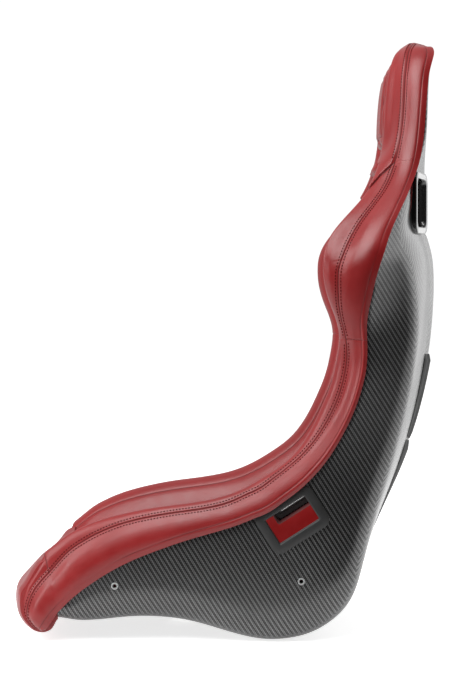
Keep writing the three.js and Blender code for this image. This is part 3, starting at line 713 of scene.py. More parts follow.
def lay_weave(mesh, centre):
    """Maps the weave: side walls straight from the side, everything else along the centre line."""
    layer = mesh.uv_layers.new(name="weave")
    base = centre[::WEAVE_STEP]
    ahead = unit(np.gradient(base, axis=0))
    co = millimetres(read(mesh))
    nearest = np.argmin(((co[:, None, 1:] - base[None, :, 1:]) ** 2).sum(axis=-1), axis=1)
    past = np.einsum("ij,ij->i", co[:, 1:] - base[nearest][:, 1:], ahead[nearest][:, 1:])
    along = distance_along(centre)[::WEAVE_STEP][nearest] + past
    corners = np.empty(len(mesh.loops), int)
    mesh.loops.foreach_get("vertex_index", corners)
    faces_side = np.array([abs(face.normal.x) > 0.5 for face in mesh.polygons])
    on_side = np.repeat(faces_side, [face.loop_total for face in mesh.polygons])
    turn = np.array([[math.cos(WEAVE_TURN), math.sin(WEAVE_TURN)], [-math.sin(WEAVE_TURN), math.cos(WEAVE_TURN)]])
    flat = np.stack([co[corners, 0], along[corners]], axis=-1)
    laid = np.where(on_side[:, None], co[corners][:, 1:] @ turn.T, flat) / TOW
    layer.data.foreach_set("uv", laid.astype(np.float32).ravel())


def make_shell():
    at = station(np.linspace(0, SHELL_TOP, 300))
    side = shell_side(at)
    inner = moved_in(side, WALL)
    outer = side.copy()
    outer[..., 1] -= spine(at, side[..., 0])
    loop = np.concatenate([mirrored(outer), outer[:, 1:], inner[:, ::-1], mirrored(inner)[:, ::-1][:, 1:]], axis=1)
    piece = loft("shell", place(at, loop), M_CARBON)
    lay_weave(piece.data, place(at, np.zeros((len(side), 1, 2)))[:, 0])
    cutters = []
    for _, mirror in SIDES:
        cutters += [LAP.prism(LOOSE, 200, 300, mirror), SHOULDER.prism(LOOSE, -60, 60, mirror)]
        cutters += mount_bars(5.8, 20, 20, mirror)
    cut(piece, [*cutters, CROTCH.prism(LOOSE, -60, 30)])
    assign(piece, "root", "carbon_weave", "shell")


make_shell()

# ---- Stitches ---------------------------------------------------------------------------------------------------

STITCH_PITCH = 4.9
THREAD_LENGTH = 3.0
THREAD_WIDTH = 2.0
ROW_GAP = 4.6  # stitches run this far to each side of a roll's seam

stitch_lines = {}  # (name of the thread piece, body): its lines, each with its normals


def sew(name, body, line, up, both_sides=True):
    for flip in (np.ones(3), MIRROR)[: 1 + both_sides]:
        stitch_lines.setdefault((name, body), []).append((line * flip, up * flip))


def sew_beside(name, grid, seam, rows=slice(None)):
    """Stitches on both sides of a padding's main seam, along some rows of its grid."""
    normal = grid_normals(grid)
    normal *= np.sign(normal[len(grid) // 2, SEAM_COLUMN, 0])
    for offset in (-ROW_GAP, ROW_GAP):
        line, up = (
            np.array([resampled(offset, run, row) for run, row in zip(seam[rows], values[rows])])
            for values in (grid, normal)
        )
        sew(name, "root", line, up)


def sew_on(piece, name, body, line, direction):
    """Projects a line onto a piece along a direction and sews it."""
    tree = BVHTree.FromObject(piece, bpy.context.evaluated_depsgraph_get())
    shot = Vector(direction).normalized()
    hits = [tree.ray_cast(Vector(point) - shot * 0.25, shot)[:2] for point in metres(line)]
    found, up = zip(*[(np.array(hit), np.array(normal)) for hit, normal in hits if hit is not None])
    sew(name, body, millimetres(found), np.array(up), both_sides=False)


def make_threads():
    turn = np.linspace(0, 2 * math.pi, 6, endpoint=False)
    rings = [(-1.0, 0.35), (-0.72, 0.85), (0.0, 1.0), (0.72, 0.85), (1.0, 0.35)]
    template = np.array([[s, r * math.cos(a), r * math.sin(a)] for s, r in rings for a in turn])
    count = len(template)
    quads = grid_faces(len(rings), len(turn))
    caps = [list(range(len(turn))), list(range(count - len(turn), count))]
    local = template[None] * [THREAD_LENGTH / 2, THREAD_WIDTH / 2, THREAD_WIDTH / 2]
    for (name, body), lines in stitch_lines.items():
        parts = []
        for line, up in lines:
            run = distance_along(line)
            stops = np.arange(STITCH_PITCH, run[-1] - STITCH_PITCH, STITCH_PITCH)
            centre = resampled(stops, run, line)
            parts.append((centre, resampled(stops + 1, run, line) - centre, resampled(stops, run, up)))
        centre, ahead, normal = (np.concatenate(values) for values in zip(*parts))
        ahead = unit(ahead)
        side = unit(np.cross(normal, ahead))
        lift = np.cross(ahead, side)
        verts = (centre + lift * 0.15)[:, None] + sum(
            local[..., k : k + 1] * axis[:, None] for k, axis in enumerate((ahead, side, lift))
        )
        faces = (quads[None] + np.arange(len(centre))[:, None, None] * count).reshape(-1, 4).tolist()
        faces += [[k + i * count for k in cap] for i in range(len(centre)) for cap in caps]
        assign(link_mesh(name, metres(verts.reshape(-1, 3)), faces, M_THREAD), body, "red_leather")


# ---- Side rolls -------------------------------------------------------------------------------------------------

NEIGHBOUR = 0.003
SKIN_COUNTS = [4, 8, 12, 20, 20, 14, 8, 8, 12, 5, 2]
SKIN_EASES = [1, 1, 1, -1.4, 1.4, 1, 1, 1, 1, 1, 1]
SEAM_COLUMN = sum(SKIN_COUNTS[:4])
CREST_COLUMN = SEAM_COLUMN + SKIN_COUNTS[4] + SKIN_COUNTS[5]
INNER_SEAM = 29.0  # the seam on a roll's inner face, this far past the crest
STRIP_SEAM = 11.0  # the hem binding's seam is this far above the hem
SEAM_IN = 6.0  # the main seam lies this far inboard of its station
PADDING = 0.14  # how far the outer panel swells, as a share of its height
WAVE_LENGTHS = (60.0, 130.0)
SEED = 11
FLAP = 2.6  # how far the headrest's front panel stands over the shoulder roll
FLAP_SCALE = 42  # millimetres a station at the flap


def padded_side(at):
    """The outer panel's control points, from the hem to the seam: full and round like the padding under it."""
    rise = at["seamH"] - at["hemH"]
    seam_x = at["seamX"] - SEAM_IN
    slope, fullness = seam_x - at["hemX"], PADDING * rise
    return [
        (at["hemX"] - 1, at["hemH"]),
        (at["hemX"] + 1.5, at["hemH"] + 6),
        (at["hemX"] + 0.30 * slope + 0.85 * fullness, at["hemH"] + 0.30 * rise),
        (at["hemX"] + 0.68 * slope + 0.90 * fullness, at["hemH"] + 0.68 * rise),
        (seam_x, at["seamH"]),
    ]


def roll_skin(at):
    top = at["reach"]
    whole = moved_in(shell_side(at), WALL + ROLL_FIT)
    seam_x = at["seamX"] - SEAM_IN
    return spline(points(
        *padded_side(at),
        (seam_x - 0.5 * (seam_x - at["crestX"]), at["seamH"] + 0.72 * (top - at["seamH"])),
        (at["crestX"], top),
        (at["crestX"] - 14, top - 4),
        (np.maximum(at["inner"] + 6, at["crestX"] - 26), top - 15),
        (at["inner"] + 2, at["pad"] + 8),
        (at["inner"], at["pad"] - 8),
        (at["inner"], height_on(whole, at["inner"])),
    ), SKIN_COUNTS, SKIN_EASES)


def arc_from(grid, column):
    """Distance across each row of a grid, measured from one column."""
    run = distance_along(grid, axis=1)
    return run - run[:, column : column + 1]


def puckers(stations, distance):
    """Small creases across the seam where the leather is pulled round the shoulder."""
    rng = np.random.default_rng(SEED)
    total = np.zeros_like(distance)
    for centre in np.arange(16.4, 21.6, 0.22):
        shift = centre + rng.uniform(-0.05, 0.05)
        reach = rng.uniform(7, 15)
        slant = rng.uniform(-0.006, 0.006)
        near = (stations[:, None] - shift - slant * distance) / 0.055
        fade = np.exp(-((np.abs(distance) / reach) ** 2)) * np.exp(-(((centre - 19.0) / 2.0) ** 2))
        total -= rng.uniform(0.1, 0.6) * np.exp(-(near**2)) * fade
    return total


def flap_edge(columns):
    """Station of the headrest panel's lower edge, which runs down and forwards from the seam to the crest."""
    share = np.clip((np.arange(columns) - SEAM_COLUMN) / (CREST_COLUMN - SEAM_COLUMN), 0, 1)
    return NECK - 1.1 * share**1.4


def dressed(at, skin, corner=None):
    """The skin in space, with its seams drawn in and the padding's unevenness, and its seam distances, which also carry
    a painted shadow under the headrest panel's lower edge.
    """
    grid = place(at, skin)
    stations = at["t"]
    if corner is not None:
        grid = np.concatenate([corner, grid], axis=0)
        stations = np.concatenate([np.full(len(corner), -1.0), stations])
    seam, hem = arc_from(grid, SEAM_COLUMN), arc_from(grid, 0)
    inner = arc_from(grid, CREST_COLUMN) - INNER_SEAM
    normal = grid_normals(grid)
    facing = np.sign(normal[:, SEAM_COLUMN, 0].sum())
    rise = pillow(seam, 0.9, 1.2) + pillow(inner, 0.7, 1.4) + pillow(hem - STRIP_SEAM, 0.5, 1.2)
    rise += 0.35 * waves(grid, WAVE_LENGTHS, SEED) + puckers(stations, seam)
    distances = [np.abs(seam), np.abs(hem - STRIP_SEAM) + 0.3, np.abs(inner)]
    run = distance_along(grid)
    to_waist = run
    if corner is not None:
        to_waist = run[-1:] - run
        short = run - run[len(corner)]
        rise -= 1.8 * (1 - smoothstep(short, -1.5, 1.0)) * smoothstep(seam, 1, 7)
        rise += pillow(short, 0.5, 1.3) * smoothstep(seam, -2, 1)
        rise *= smoothstep(run, 0, 14)
        distances.append(np.where(seam > -1, np.abs(short), FAR))
    else:
        edge = (stations[:, None] - flap_edge(grid.shape[1])) * FLAP_SCALE
        overlap = FLAP * smoothstep(edge, -0.6, 1.6) - 1.2 * np.exp(-(((edge + 2.2) / 2.2) ** 2))
        rise += overlap * smoothstep(seam, 0.5, 5)
        # Painted shadow: the headrest panel's lower edge gets a seam distance, so the leather is darkened along it
        # where its shadow falls.
        distances.append(np.where(seam > 1.5, np.abs(edge + 0.4) * 0.7, FAR))
    rise += pillow(to_waist, 0.5, 1.6)
    distances.append(np.where(seam < 0, to_waist + 0.55, FAR))
    grid = grid + normal * (facing * rise * smoothstep(hem, 1, 9))[..., None]
    return grid, np.min(distances, axis=0), seam


# Past the first station the roll turns down round the front corner: y, z of crest, seam and hem.
CORNER = np.array([
    [-281, 18.5, -280, 19.5, -275, 21],
    [-296, 26, -293, 29, -271, 24],
    [-309, 46, -302, 43, -267, 29],
    [-311.5, 65, -300, 63, -263, 35],
    [-307, 87, -291, 83, -259, 41],
    [-291, 114, -279, 99, -256, 46],
], float)


def corner_skin(first):
    """Rows of skin from the tip of the front corner to the first station's skin."""
    rows = []
    for crest, seam, hem in CORNER.reshape(-1, 3, 2):
        reach = np.linalg.norm(seam - hem)
        squeeze = min(1.0, reach / 45)
        spots = [
            (247, hem), (249.5, hem + (seam - hem) * min(0.2, 6 / reach)), (251.5, hem + 0.30 * (seam - hem)),
            (247.5, hem + 0.68 * (seam - hem)), (234, seam), (229, seam + 0.72 * (crest - seam)), (222, crest),
            (208, 0.97 * crest + 0.03 * hem), (200, 0.9 * crest + 0.1 * hem), (198, 0.7 * crest + 0.3 * hem),
            (198, 0.5 * crest + 0.5 * hem), (198, hem),
        ]
        rows.append([(x - (1 - squeeze) * max(0, x - 228) * 0.7, y, z) for x, (y, z) in spots])
    fan = spline(np.array(rows), SKIN_COUNTS, SKIN_EASES)
    nodes = np.concatenate([fan, first[:1]], axis=0)
    return spline(nodes.transpose(1, 0, 2), [9] * len(CORNER)).transpose(1, 0, 2)[:-1]


def thigh_cutters(mirror):
    pocket = LAP.prism(LAP_BORDER + FIT, SIDE - 1, SIDE + 0.3 + FLANGE + FIT, mirror, corner=8.0)
    return [LAP.prism(13, 100, SIDE, mirror), pocket, *mount_bars(14, 52, 10, mirror)]


def make_roll(name, rows, cutters_for=None):
    """A pair of rolls. The one that is cut for belt and mounts is the thigh's, which has the front corner."""
    at = station(rows)
    skin = roll_skin(at)
    hidden = place(at, hidden_side(at, slice(FLOOR_STEPS + 2, -1)))
    corner = None
    if cutters_for:
        corner = corner_skin(place(at, skin))
        start = corner[:, -1:] + (corner[:, :1] - corner[:, -1:]) * np.linspace(0, 1, hidden.shape[1])[None, :, None]
        hidden = np.concatenate([start, hidden], axis=0)
    grid, distance, seam = dressed(at, skin, corner)
    sections = np.concatenate([grid, hidden], axis=1)
    seams = np.concatenate([distance, np.full(hidden.shape[:2], FAR)], axis=1)
    for side, mirror in SIDES:
        piece = loft(f"{name}_{side}", sections * (MIRROR if mirror else 1), M_LEATHER, seams)
        if cutters_for:
            cut(piece, cutters_for(mirror))
        assign(piece, "root", "red_leather", f"{name}_{side}", fill=0.9)
    sew_beside("roll_thread", grid[3:-3], seam[3:-3])


def rows_between(*runs):
    return np.concatenate([np.linspace(*run) for run in runs])


make_roll("thigh_bolster", rows_between((NEIGHBOUR, 13.8, 250), (13.82, WAIST - NEIGHBOUR, 12)), thigh_cutters)
make_roll("back_bolster", rows_between(
    (WAIST + NEIGHBOUR, 14.2, 12), (14.23, 21.4, 150), (21.42, NECK - NEIGHBOUR, 64),
))

# ---- Headrest surround ------------------------------------------------------------------------------------------

CROWN_SWELL = 5.0  # the padding's rear edge swells this much below the top
CROWN_DROP = 5.0  # and falls off by this much where it turns over the top
LOW_ROUND = 16.0  # how far the surround's lower edge is rounded back


def surround_half(at):
    """Half of the surround's section: skin from the hem to the middle of the recess."""
    step = np.minimum(RECESS, at["crestX"] + 2)
    top = at["reach"]
    mid_x, mid_h = 0.5 * (step + 4 + at["seamX"] - SEAM_IN), 0.5 * (top - 4 + at["seamH"])
    over = smoothstep(at["t"], SHELL_TOP - 0.6, SHELL_TOP + 0.3)
    face = np.minimum(RECESS_DEPTH, top - 26) * (1 - over) + (top - 1) * over
    lip = (top - 8) * (1 - over) + (top - 2) * over
    head = smoothstep(at["t"], NECK, NECK + 1.1)

    def blend(shoulder, headrest):
        return shoulder * (1 - head) + headrest * head

    seam_x = at["seamX"] - SEAM_IN
    span = seam_x - at["crestX"]
    return spline(points(
        *padded_side(at),
        (blend(seam_x - 0.5 * span, mid_x + 3), blend(at["seamH"] + 0.72 * (top - at["seamH"]), mid_h + 1.5)),
        (blend(at["crestX"], step + 12), blend(top, top - 3)),
        (step + 4, lip),
        (step, face),
        (0.5 * step, face),
        (0 * step, face),
    ), [*SKIN_COUNTS[:8], 4, 3], SKIN_EASES[:10])


def make_surround():
    t = rows_between((NECK + NEIGHBOUR, 23.5, 24), (23.5, 27, 100), (27, TOP, 50))
    t = t[np.diff(t, prepend=-1) > 0]
    at = station(t)
    skin = surround_half(at)
    grid = place(at, skin)
    seam, hem = arc_from(grid, SEAM_COLUMN), arc_from(grid, 0)
    width = np.abs(skin[..., 0])
    normal = grid_normals(grid)
    facing = np.sign(normal[30, SEAM_COLUMN, 0])
    rise = pillow(seam, 0.9, 1.2) + pillow(hem - STRIP_SEAM, 0.5, 1.2) + 0.35 * waves(grid, WAVE_LENGTHS, SEED)
    rise += FLAP * smoothstep(seam, 0.5, 5)
    low_edge = np.clip(1 - distance_along(grid) / 14, 0, 1)
    rise -= LOW_ROUND * (1 - np.sqrt(1 - low_edge**2)) * smoothstep(at["crestX"][:, None] - width, 4, 24)
    grid = grid + normal * (facing * rise * smoothstep(hem, 1, 9) * smoothstep(width, 60, 80))[..., None]
    over = smoothstep(t, SHELL_TOP - 0.1, SHELL_TOP + 0.2)[:, None]
    tuck = smoothstep(t, 27.4, 28.0)[:, None]
    hidden = hidden_side(at, slice(0, -1, 3))
    share = np.linspace(0, 1, hidden.shape[1])
    flat = np.stack([(at["hemX"] - 8)[:, None] * share, (at["hemH"][:, None] + 3) * tuck + 0 * share], axis=-1)
    back = place(at, hidden * (1 - over)[..., None] + flat * over[..., None])
    for face in (grid, back):
        face[..., 2] -= CROWN_DROP * smoothstep(face[..., 1], 306, 328) * smoothstep(t, 27.6, 28.6)[:, None]
    crown = smoothstep(t, 25.6, 27.1) * (1 - smoothstep(t, 27.1, 28.5))
    grid[..., 1] += CROWN_SWELL * (1 - smoothstep(hem, 2, 24)) * crown[:, None]
    half = np.concatenate([back, grid], axis=1)
    sections = np.concatenate([half, (half * MIRROR)[:, ::-1][:, 1:-1]], axis=1)
    distance = np.minimum(np.abs(seam), np.abs(hem - STRIP_SEAM) + 0.35)
    near = np.concatenate([np.full(back.shape[:2], FAR), distance], axis=1)
    near = np.concatenate([near, near[:, ::-1][:, 1:-1]], axis=1)
    piece = loft("headrest_surround", sections, M_LEATHER, near)
    assign(piece, "root", "red_leather", "headrest_surround", fill=0.9)
    sew_beside("headrest_thread", grid, seam, slice(3, -8))


make_surround()

# ---- Front lip --------------------------------------------------------------------------------------------------

LIP_CORNER = 205.0
LIP_CENTRE = (-255, 60)  # the lip's edges are inset towards this line at its ends


def make_lip():
    x = np.concatenate([np.linspace(0, 212, 50), [215, 218, 221, 224, 226]])
    inset = 0.8 + 3.2 * np.clip((x - 208) / 18, 0, 1) ** 2
    dip = LIP_DIP * np.maximum(0, 1 - (x / LIP_CORNER) ** 4)
    bulge = NOSE_BULGE * np.maximum(0, 1 - (x / SIDE) ** 2)

    def line(y, z):
        return np.stack([y + 0 * x, z + 0 * x], axis=-1)

    front = [
        (-281, 127 - dip, 0.9), (-303, 94 - dip / 2, 1), (-312, 80 - dip / 3, 1), (-314, 62, 1), (-311, 42, 1),
        (-299, 25, 0.9), (-285, 16, 0.7), (-274, 15, 0.5), (-262, 20, 0.3),
    ]
    rows = []
    for y, z, share in front:
        inwards = line(LIP_CENTRE[0] - y, LIP_CENTRE[1] - z)
        rows.append(line(y, z) + inwards * (inset * share)[:, None] / np.linalg.norm(inwards, axis=1, keepdims=True))
    first = station([0.0])
    by, bz, ny, nz = (float(first[k][0]) for k in ("baseY", "baseZ", "ny", "nz"))
    top = 101 - inset
    upper = line(by + ny * top - 0.3, bz + nz * top - dip)
    skin = spline(np.stack([upper, *rows, line(by - 3, bz - 3)], axis=1), [9, 9, 6, 7, 7, 7, 6, 5, 5, 4])
    rear = np.stack([line(by + ny * h - 0.3, bz + nz * h) for h in (0, 36, 72)], axis=1)
    closed = np.concatenate([skin, rear], axis=1)
    grid = np.concatenate([np.broadcast_to(x[:, None, None], closed.shape[:2] + (1,)), closed], axis=2)
    forward = np.concatenate([smoothstep(np.arange(skin.shape[1]), 0, 9), [1, 0, 0]])  # the rear face stays straight
    grid = grid - bulge[:, None, None] * forward[None, :, None] * [0, 1, 0]
    grid = np.concatenate([(grid * MIRROR)[::-1], grid[1:]], axis=0)
    piece = loft("front_lip_pad", grid, M_LEATHER, np.full(grid.shape[:2], FAR))
    assign(piece, "root", "red_leather", "front_lip_pad", fill=0.8)


make_lip()

# ---- Cushions ---------------------------------------------------------------------------------------------------

COVER_DROP = 9.0
CUSHION_GAP = FIT + 2
JOINT_LINE = (0.0, 150.0, 60.0)
FRONT_LINE = (0.0, -267.0, 112.0)
BACK_TOP = 18.05
SEAT_HALF = 170.0
SEAT_BORDER = 132.0
BACK_BORDER = 122.0
SEAT_CHANNELS = (-175.0, -110.0, -5.0, 60.0)
BACK_CHANNELS = (250.0, 320.0, 390.0, 460.0, 530.0)
HEAD_BORDER = 62.0
HEAD_ENDS = (802.0, 905.0)
BORDER_STITCH = 3.4  # stitches run this far to each side of a cushion's border


def pad_sections(at, half):
    floor = moved_in(shell_side(at), PAD_LIFT)
    top = at["pad"]
    base, low_mid, low_side = (height_on(floor, share * half) for share in (0, 0.5, 1))
    upper = spline(points(
        (0 * half, top + 2), (0.5 * half, top + 1.5), (half - COVER_DROP, top), (half, top - COVER_DROP),
        (half, low_side),
    ), [14, 14, 8, 5])
    lower = spline(points((half, low_side), (0.5 * half, low_mid), (0 * half, base)), [10, 10])
    return place(at, closed_half(np.concatenate([upper, lower[:, 1:]], axis=1)))


def keep_side(piece, corner, normal):
    """Cuts a piece with a plane that clears a corner line, and keeps what lies behind the normal."""
    made = bmesh.new()
    made.from_mesh(piece.data)
    everything = made.verts[:] + made.edges[:] + made.faces[:]
    point = metres(np.subtract(corner, np.multiply(normal, CUSHION_GAP)))
    found = bmesh.ops.bisect_plane(made, geom=everything, plane_co=point, plane_no=normal, clear_outer=True, dist=1e-6)
    edges = [e for e in found["geom_cut"] if isinstance(e, bmesh.types.BMEdge)]
    bmesh.ops.contextual_create(made, geom=edges)
    bmesh.ops.recalc_face_normals(made, faces=made.faces)
    made.to_mesh(piece.data)
    made.free()


def inflate(piece, away, voxel, cap):
    """Remeshes a padded piece and swells it as cloth under pressure. No point moves further than cap."""
    mesh = piece.data
    normals = read(mesh, "normal")
    shrink = cap / 2 * smoothstep(normals @ np.array(away), -0.3, 0.3)
    write(mesh, read(mesh) - normals * shrink[:, None])
    remesh = piece.modifiers.new("remesh", "REMESH")
    remesh.mode = "VOXEL"
    remesh.voxel_size = voxel
    apply_modifiers(piece)
    rest, normals = read(piece.data), read(piece.data, "normal")
    cloth = piece.modifiers.new("cloth", "CLOTH")
    cloth.settings.use_pressure = True
    cloth.settings.uniform_pressure_force = 4.0
    cloth.settings.quality = 5
    cloth.settings.effector_weights.gravity = 0.0
    scene = bpy.context.scene
    for step in range(1, 21):
        scene.frame_set(step)
    apply_modifiers(piece)
    scene.frame_set(1)
    moved = read(piece.data)
    travel = moved - rest
    travel *= np.minimum(1, cap / np.maximum(np.linalg.norm(travel, axis=1, keepdims=True), 1e-9))
    travel *= smoothstep(normals @ np.array(away), -0.35, 0.25)[:, None]
    write(piece.data, rest + travel)
    even = piece.modifiers.new("even", "SMOOTH")
    even.factor = 0.5
    even.iterations = 8
    finer = piece.modifiers.new("finer", "SUBSURF")
    finer.levels = finer.render_levels = 1
    apply_modifiers(piece)
    piece.data.shade_smooth()


def draw_seams(piece, distance_of, axis, depth, width):
    """Sewn lines: the surface is drawn in along them, and seam_mm marks them for the leather's painted shade."""
    mesh = piece.data
    co, normals = millimetres(read(mesh)), read(mesh, "normal")
    facing = smoothstep(normals @ np.array(axis), 0.25, 0.6)
    distance = distance_of(*co.T)
    write(mesh, metres(co + normals * (pillow(distance, depth, width) * facing)[:, None]))
    set_seams(mesh, distance + FAR * (1 - facing))


def make_cushion(name, sections, away, distance_of, axis, ends=(), puff=(0.005, 0.008), groove=(2.2, 4.0),
                 cutters=None, rows=(), shot=None):
    piece = loft(name, sections, M_LEATHER)
    for corner, normal in ends:
        keep_side(piece, corner, normal)
    inflate(piece, away, *puff)
    draw_seams(piece, distance_of, axis, *groove)
    if cutters:
        cut(piece, cutters())
    for line in rows:
        sew_on(piece, name.replace("cushion", "thread"), name, line, shot)
    assign(piece, name, "red_leather", f"{name}_cover", f"{name}_foam", fill=0.85)


def channels(x, edge, along, stops):
    """Distance to a cushion's sewn borders and, between them, to its channels."""
    border = np.abs(np.abs(x) - edge)
    across = np.min([np.abs(along - stop) for stop in stops], axis=0)
    return np.where(np.abs(x) < edge, np.minimum(border, across), border)


def border_rows(edge, y, z):
    return [
        np.stack(np.broadcast_arrays(side * edge + offset, y, z), axis=-1)
        for side in (-1, 1) for offset in (-BORDER_STITCH, BORDER_STITCH)
    ]


def back_edge(z):
    return BACK_BORDER - 18 * smoothstep(z, 480, 640)


def head_sections():
    at = station(np.linspace(23.72, 26.88, 60))
    x = np.minimum(RECESS, at["crestX"] + 2) - 3
    top = at["reach"]
    low_h = RECESS_DEPTH + 3.5 + 0 * x
    half = spline(points((0 * x, top), (x - 14, top - 1.5), (x - 3, top - 6), (x, top - 14), (x, low_h)), [16, 6, 6, 6])
    flat = points((0.5 * x, low_h), (0 * x, low_h))
    return place(at, closed_half(np.concatenate([half, flat], axis=1)))


def head_seams(x, y, z):
    ends = np.min([np.abs(z - end) for end in HEAD_ENDS], axis=0)
    beside = np.where((z > HEAD_ENDS[0]) & (z < HEAD_ENDS[1]), np.abs(np.abs(x) - HEAD_BORDER), FAR)
    return np.minimum(beside, np.where(np.abs(x) < HEAD_BORDER, ends, FAR))


seat_at = station(np.linspace(0.05, 8.4, 120))
make_cushion(
    "seat_cushion", pad_sections(seat_at, SEAT_HALF + 0 * seat_at["t"]), (0, -0.05, 1.0),
    lambda x, y, z: channels(x, SEAT_BORDER, y + 12 * (x / SEAT_BORDER) ** 2, SEAT_CHANNELS), (0, 0, 1),
    ends=[(JOINT_LINE, (0, 0.917, 0.4)), (FRONT_LINE, (0, -0.893, -0.45))],
    cutters=lambda: [CROTCH.prism(LOOSE, -60, 200)],
    rows=border_rows(SEAT_BORDER, np.linspace(-255, 140, 200), 120.0), shot=(0, 0.1, -1),
)
back_at = station(np.linspace(6.2, BACK_TOP, 170))
back_z = np.linspace(110, 610, 240)
make_cushion(
    "back_cushion", pad_sections(back_at, 166 - 26 * smoothstep(back_at["baseZ"], 520, 660)), (0, -0.9, 0.35),
    lambda x, y, z: channels(x, back_edge(z), z + 10 * (x / BACK_BORDER) ** 2, BACK_CHANNELS), (0, -0.95, 0.3),
    ends=[(JOINT_LINE, (0, -0.917, -0.4))],
    rows=border_rows(back_edge(back_z), 240.0, back_z), shot=(0, 1, -0.2),
)
make_cushion(
    "headrest_cushion", head_sections(), (0, -1.0, 0.05), head_seams, (0, -1, 0.05),
    puff=(0.004, 0.006), groove=(1.4, 3.5),
)
make_threads()

# ---- Bezels -----------------------------------------------------------------------------------------------------

OUT = SIDE + 0.3  # the lap bezel's flange lies on the shell here
INNER_TOP = SIDE - WALL - 4.2
REAR = -14.0  # the shoulder bezel's rear face in the slot's frame
PAIRS = [
    (LAP, "lap_bezel_outer", SATIN, [
        (0, SIDE - 11, 2), (BEZEL_WALL, SIDE - 11, 4), (BEZEL_WALL, OUT, 4), (LAP_BORDER, OUT, 14),
        (LAP_BORDER, OUT + FLANGE - 0.9, 14), (LAP_BORDER - 1.4, OUT + FLANGE, 13),
        (2.2, OUT + FLANGE, 3), (0.6, OUT + FLANGE - 0.5, 2.4), (0, OUT + FLANGE - 1.4, 2),
    ]),
    (LAP, "lap_bezel_inner", SATIN, [
        (LOOSE, INNER_TOP - FLANGE, 4), (11, INNER_TOP - FLANGE, 8), (11, INNER_TOP - 0.5, 8),
        (10.5, INNER_TOP, 7.5), (LOOSE, INNER_TOP, 4),
    ]),
    (SHOULDER, "shoulder_bezel_rear", GLOSS, [
        (0, 6, 11), (BEZEL_WALL, 6, 14), (BEZEL_WALL, REAR + FLANGE, 14), (11, REAR + FLANGE, 20),
        (11, REAR + 1.0, 20), (9.6, REAR, 19), (2.4, REAR, 13), (0.7, REAR + 0.7, 11.6), (0, REAR + 2.2, 11),
    ]),
    (SHOULDER, "shoulder_bezel_front", GLOSS, [
        (LOOSE, 3, 14), (9, 3, 18), (9, 4.8, 18), (8.4, 5.4, 17.5), (LOOSE, 5.4, 14),
    ]),
]
for side, mirror in SIDES:
    for slot, name, plastic, profile in PAIRS:
        slot.bezel(f"{name}_{side}", profile, plastic, mirror)
CROTCH.bezel("crotch_bezel_lower", [
    (0, 4, 9), (BEZEL_WALL, 4, 12), (BEZEL_WALL, -8 + FLANGE, 12), (11, -8 + FLANGE, 18), (11, -7.2, 18),
    (10, -8, 17), (1.5, -8, 10), (0, -6.8, 9),
], SATIN)
CROTCH.bezel("crotch_bezel_upper", [
    (-1, 63, 8), (10, 63, 18), (10, 64.6, 18), (9, 65.4, 17), (0, 65.4, 9), (-1, 64.4, 8),
], SATIN, body="seat_cushion")

# ---- Guards -----------------------------------------------------------------------------------------------------

GUARD_ROWS, GUARD_COLUMNS = 40, 16
GUARD_HALF = 82.0
GUARD_THIN = 1.6


def make_guard(name, start, end, thick):
    at = station(np.linspace(start, end, GUARD_ROWS))
    share = np.clip((at["baseZ"] - at["baseZ"][0]) / (at["baseZ"][-1] - at["baseZ"][0]), 0, 1)[:, None]
    x = np.broadcast_to(np.linspace(0, GUARD_HALF, GUARD_COLUMNS), (GUARD_ROWS, GUARD_COLUMNS))
    skin = floor_height(at, x) - spine(at, x) - 0.5
    edge = 1 - smoothstep(x, GUARD_HALF - 7, GUARD_HALF)
    row = np.arange(GUARD_ROWS)
    ends = np.minimum(1, np.minimum(row, row[::-1]) / 3)[:, None]
    depth = (GUARD_THIN + (thick - GUARD_THIN) * share) * (0.15 + 0.85 * edge) * (0.25 + 0.75 * ends)
    near, far = np.stack([x, skin], axis=-1), np.stack([x, skin - depth], axis=-1)
    piece = loft(name, place(at, closed_half(np.concatenate([near, far[:, ::-1]], axis=1))), M_RUBBER)
    assign(piece, "root", "guard_rubber", name)


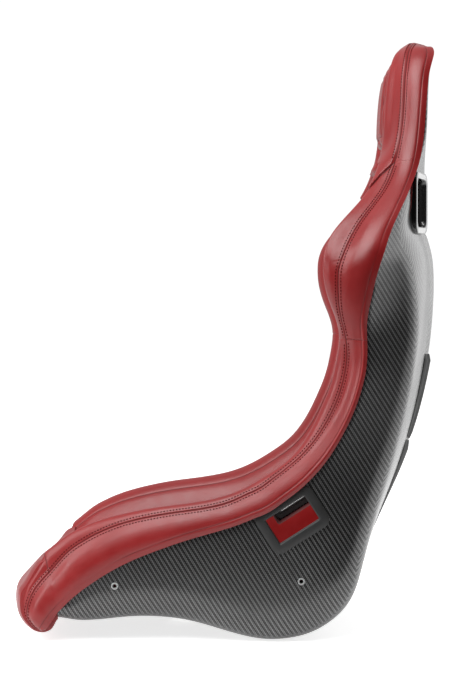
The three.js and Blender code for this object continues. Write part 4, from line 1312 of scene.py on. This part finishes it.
make_guard("rear_guard_upper", 11.65, 13.65, 5)
make_guard("rear_guard_lower", 9.4, 11.6, 4)

# ---- CAD pieces that stay ---------------------------------------------------------------------------------------

for name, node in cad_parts.items():
    finish = M_STEEL if "insert" in name else M_TAPE if "strip" in name else None
    if finish:
        node.data.materials.clear()
        node.data.materials.append(finish)

# ---- Stage and light --------------------------------------------------------------------------------------------

STAGE_REACH = 14.0


def make_stage():
    """A pale floor that is seen pale, but is dark in reflections in front of the seat's side, and glows near the seat
    as a painted light on the shell's underside.
    """
    material, n, shader = new_material("floor_paint")
    where, seen = n.where(), n.to_camera()
    x = n.axes(where)[0]
    # Painted reflection: to rays other than the camera's, the floor is dark in front of the seat's side.
    floor_seen_off_camera = n.mix(n.span(x, 0.35, 1.1, smooth=True), grey(0.8), grey(0.06))
    n.set(shader, {
        "Base Color": n.mix(seen, floor_seen_off_camera, n.mix(n.noise(where, 1.5, 2.0), grey(0.90), grey(0.93))),
        "Roughness": 0.9,
        "Emission Color": (1, 1, 1, 1),
        # Painted light: to rays other than the camera's, the floor glows near the seat and lights the shell's underside
        # from below.
        "Emission Strength": n.between(seen, n.span(x, 0.35, 1.1, 0.4, 0.0, smooth=True), 0.75),
    })
    corners = [(STAGE_REACH * x, STAGE_REACH * y, 0) for x, y in ((-1, -1), (1, -1), (1, 1), (-1, 1))]
    link_mesh("floor", corners, [[0, 1, 2, 3]], material, smooth=False)


make_stage()
world = bpy.data.worlds.new("studio")
bpy.context.scene.world = world
world.use_nodes = True
n = Nodes(world.node_tree)
ahead, _, upwards = n.axes(n.add("ShaderNodeTexCoord"))
beyond = n.span(ahead, -0.6, 0.4, 0.7, 0.08, smooth=True)
above = n.span(upwards, 0.1, 0.9, 0.0, 0.15, smooth=True)
n.set(world.node_tree.nodes["Background"], {
    "Color": (1, 1, 1, 1),
    "Strength": n.between(n.to_camera(), n.math("ADD", beyond, above), 1.05),
})
area_light("top", (1.5, -0.45, 2.4), (0, 0, 0.4), (1.4, 2.7), 84)
area_light("front", (0.95, -2.2, 1.65), (0, 0, 0.5), (0.9, 2.7), 50)
area_light("rim", (-1.5, 2.2, 1.0), (0, 0.2, 0.5), (2.4, 2.0), 12)
bpy.context.scene.view_settings.view_transform = "Standard"
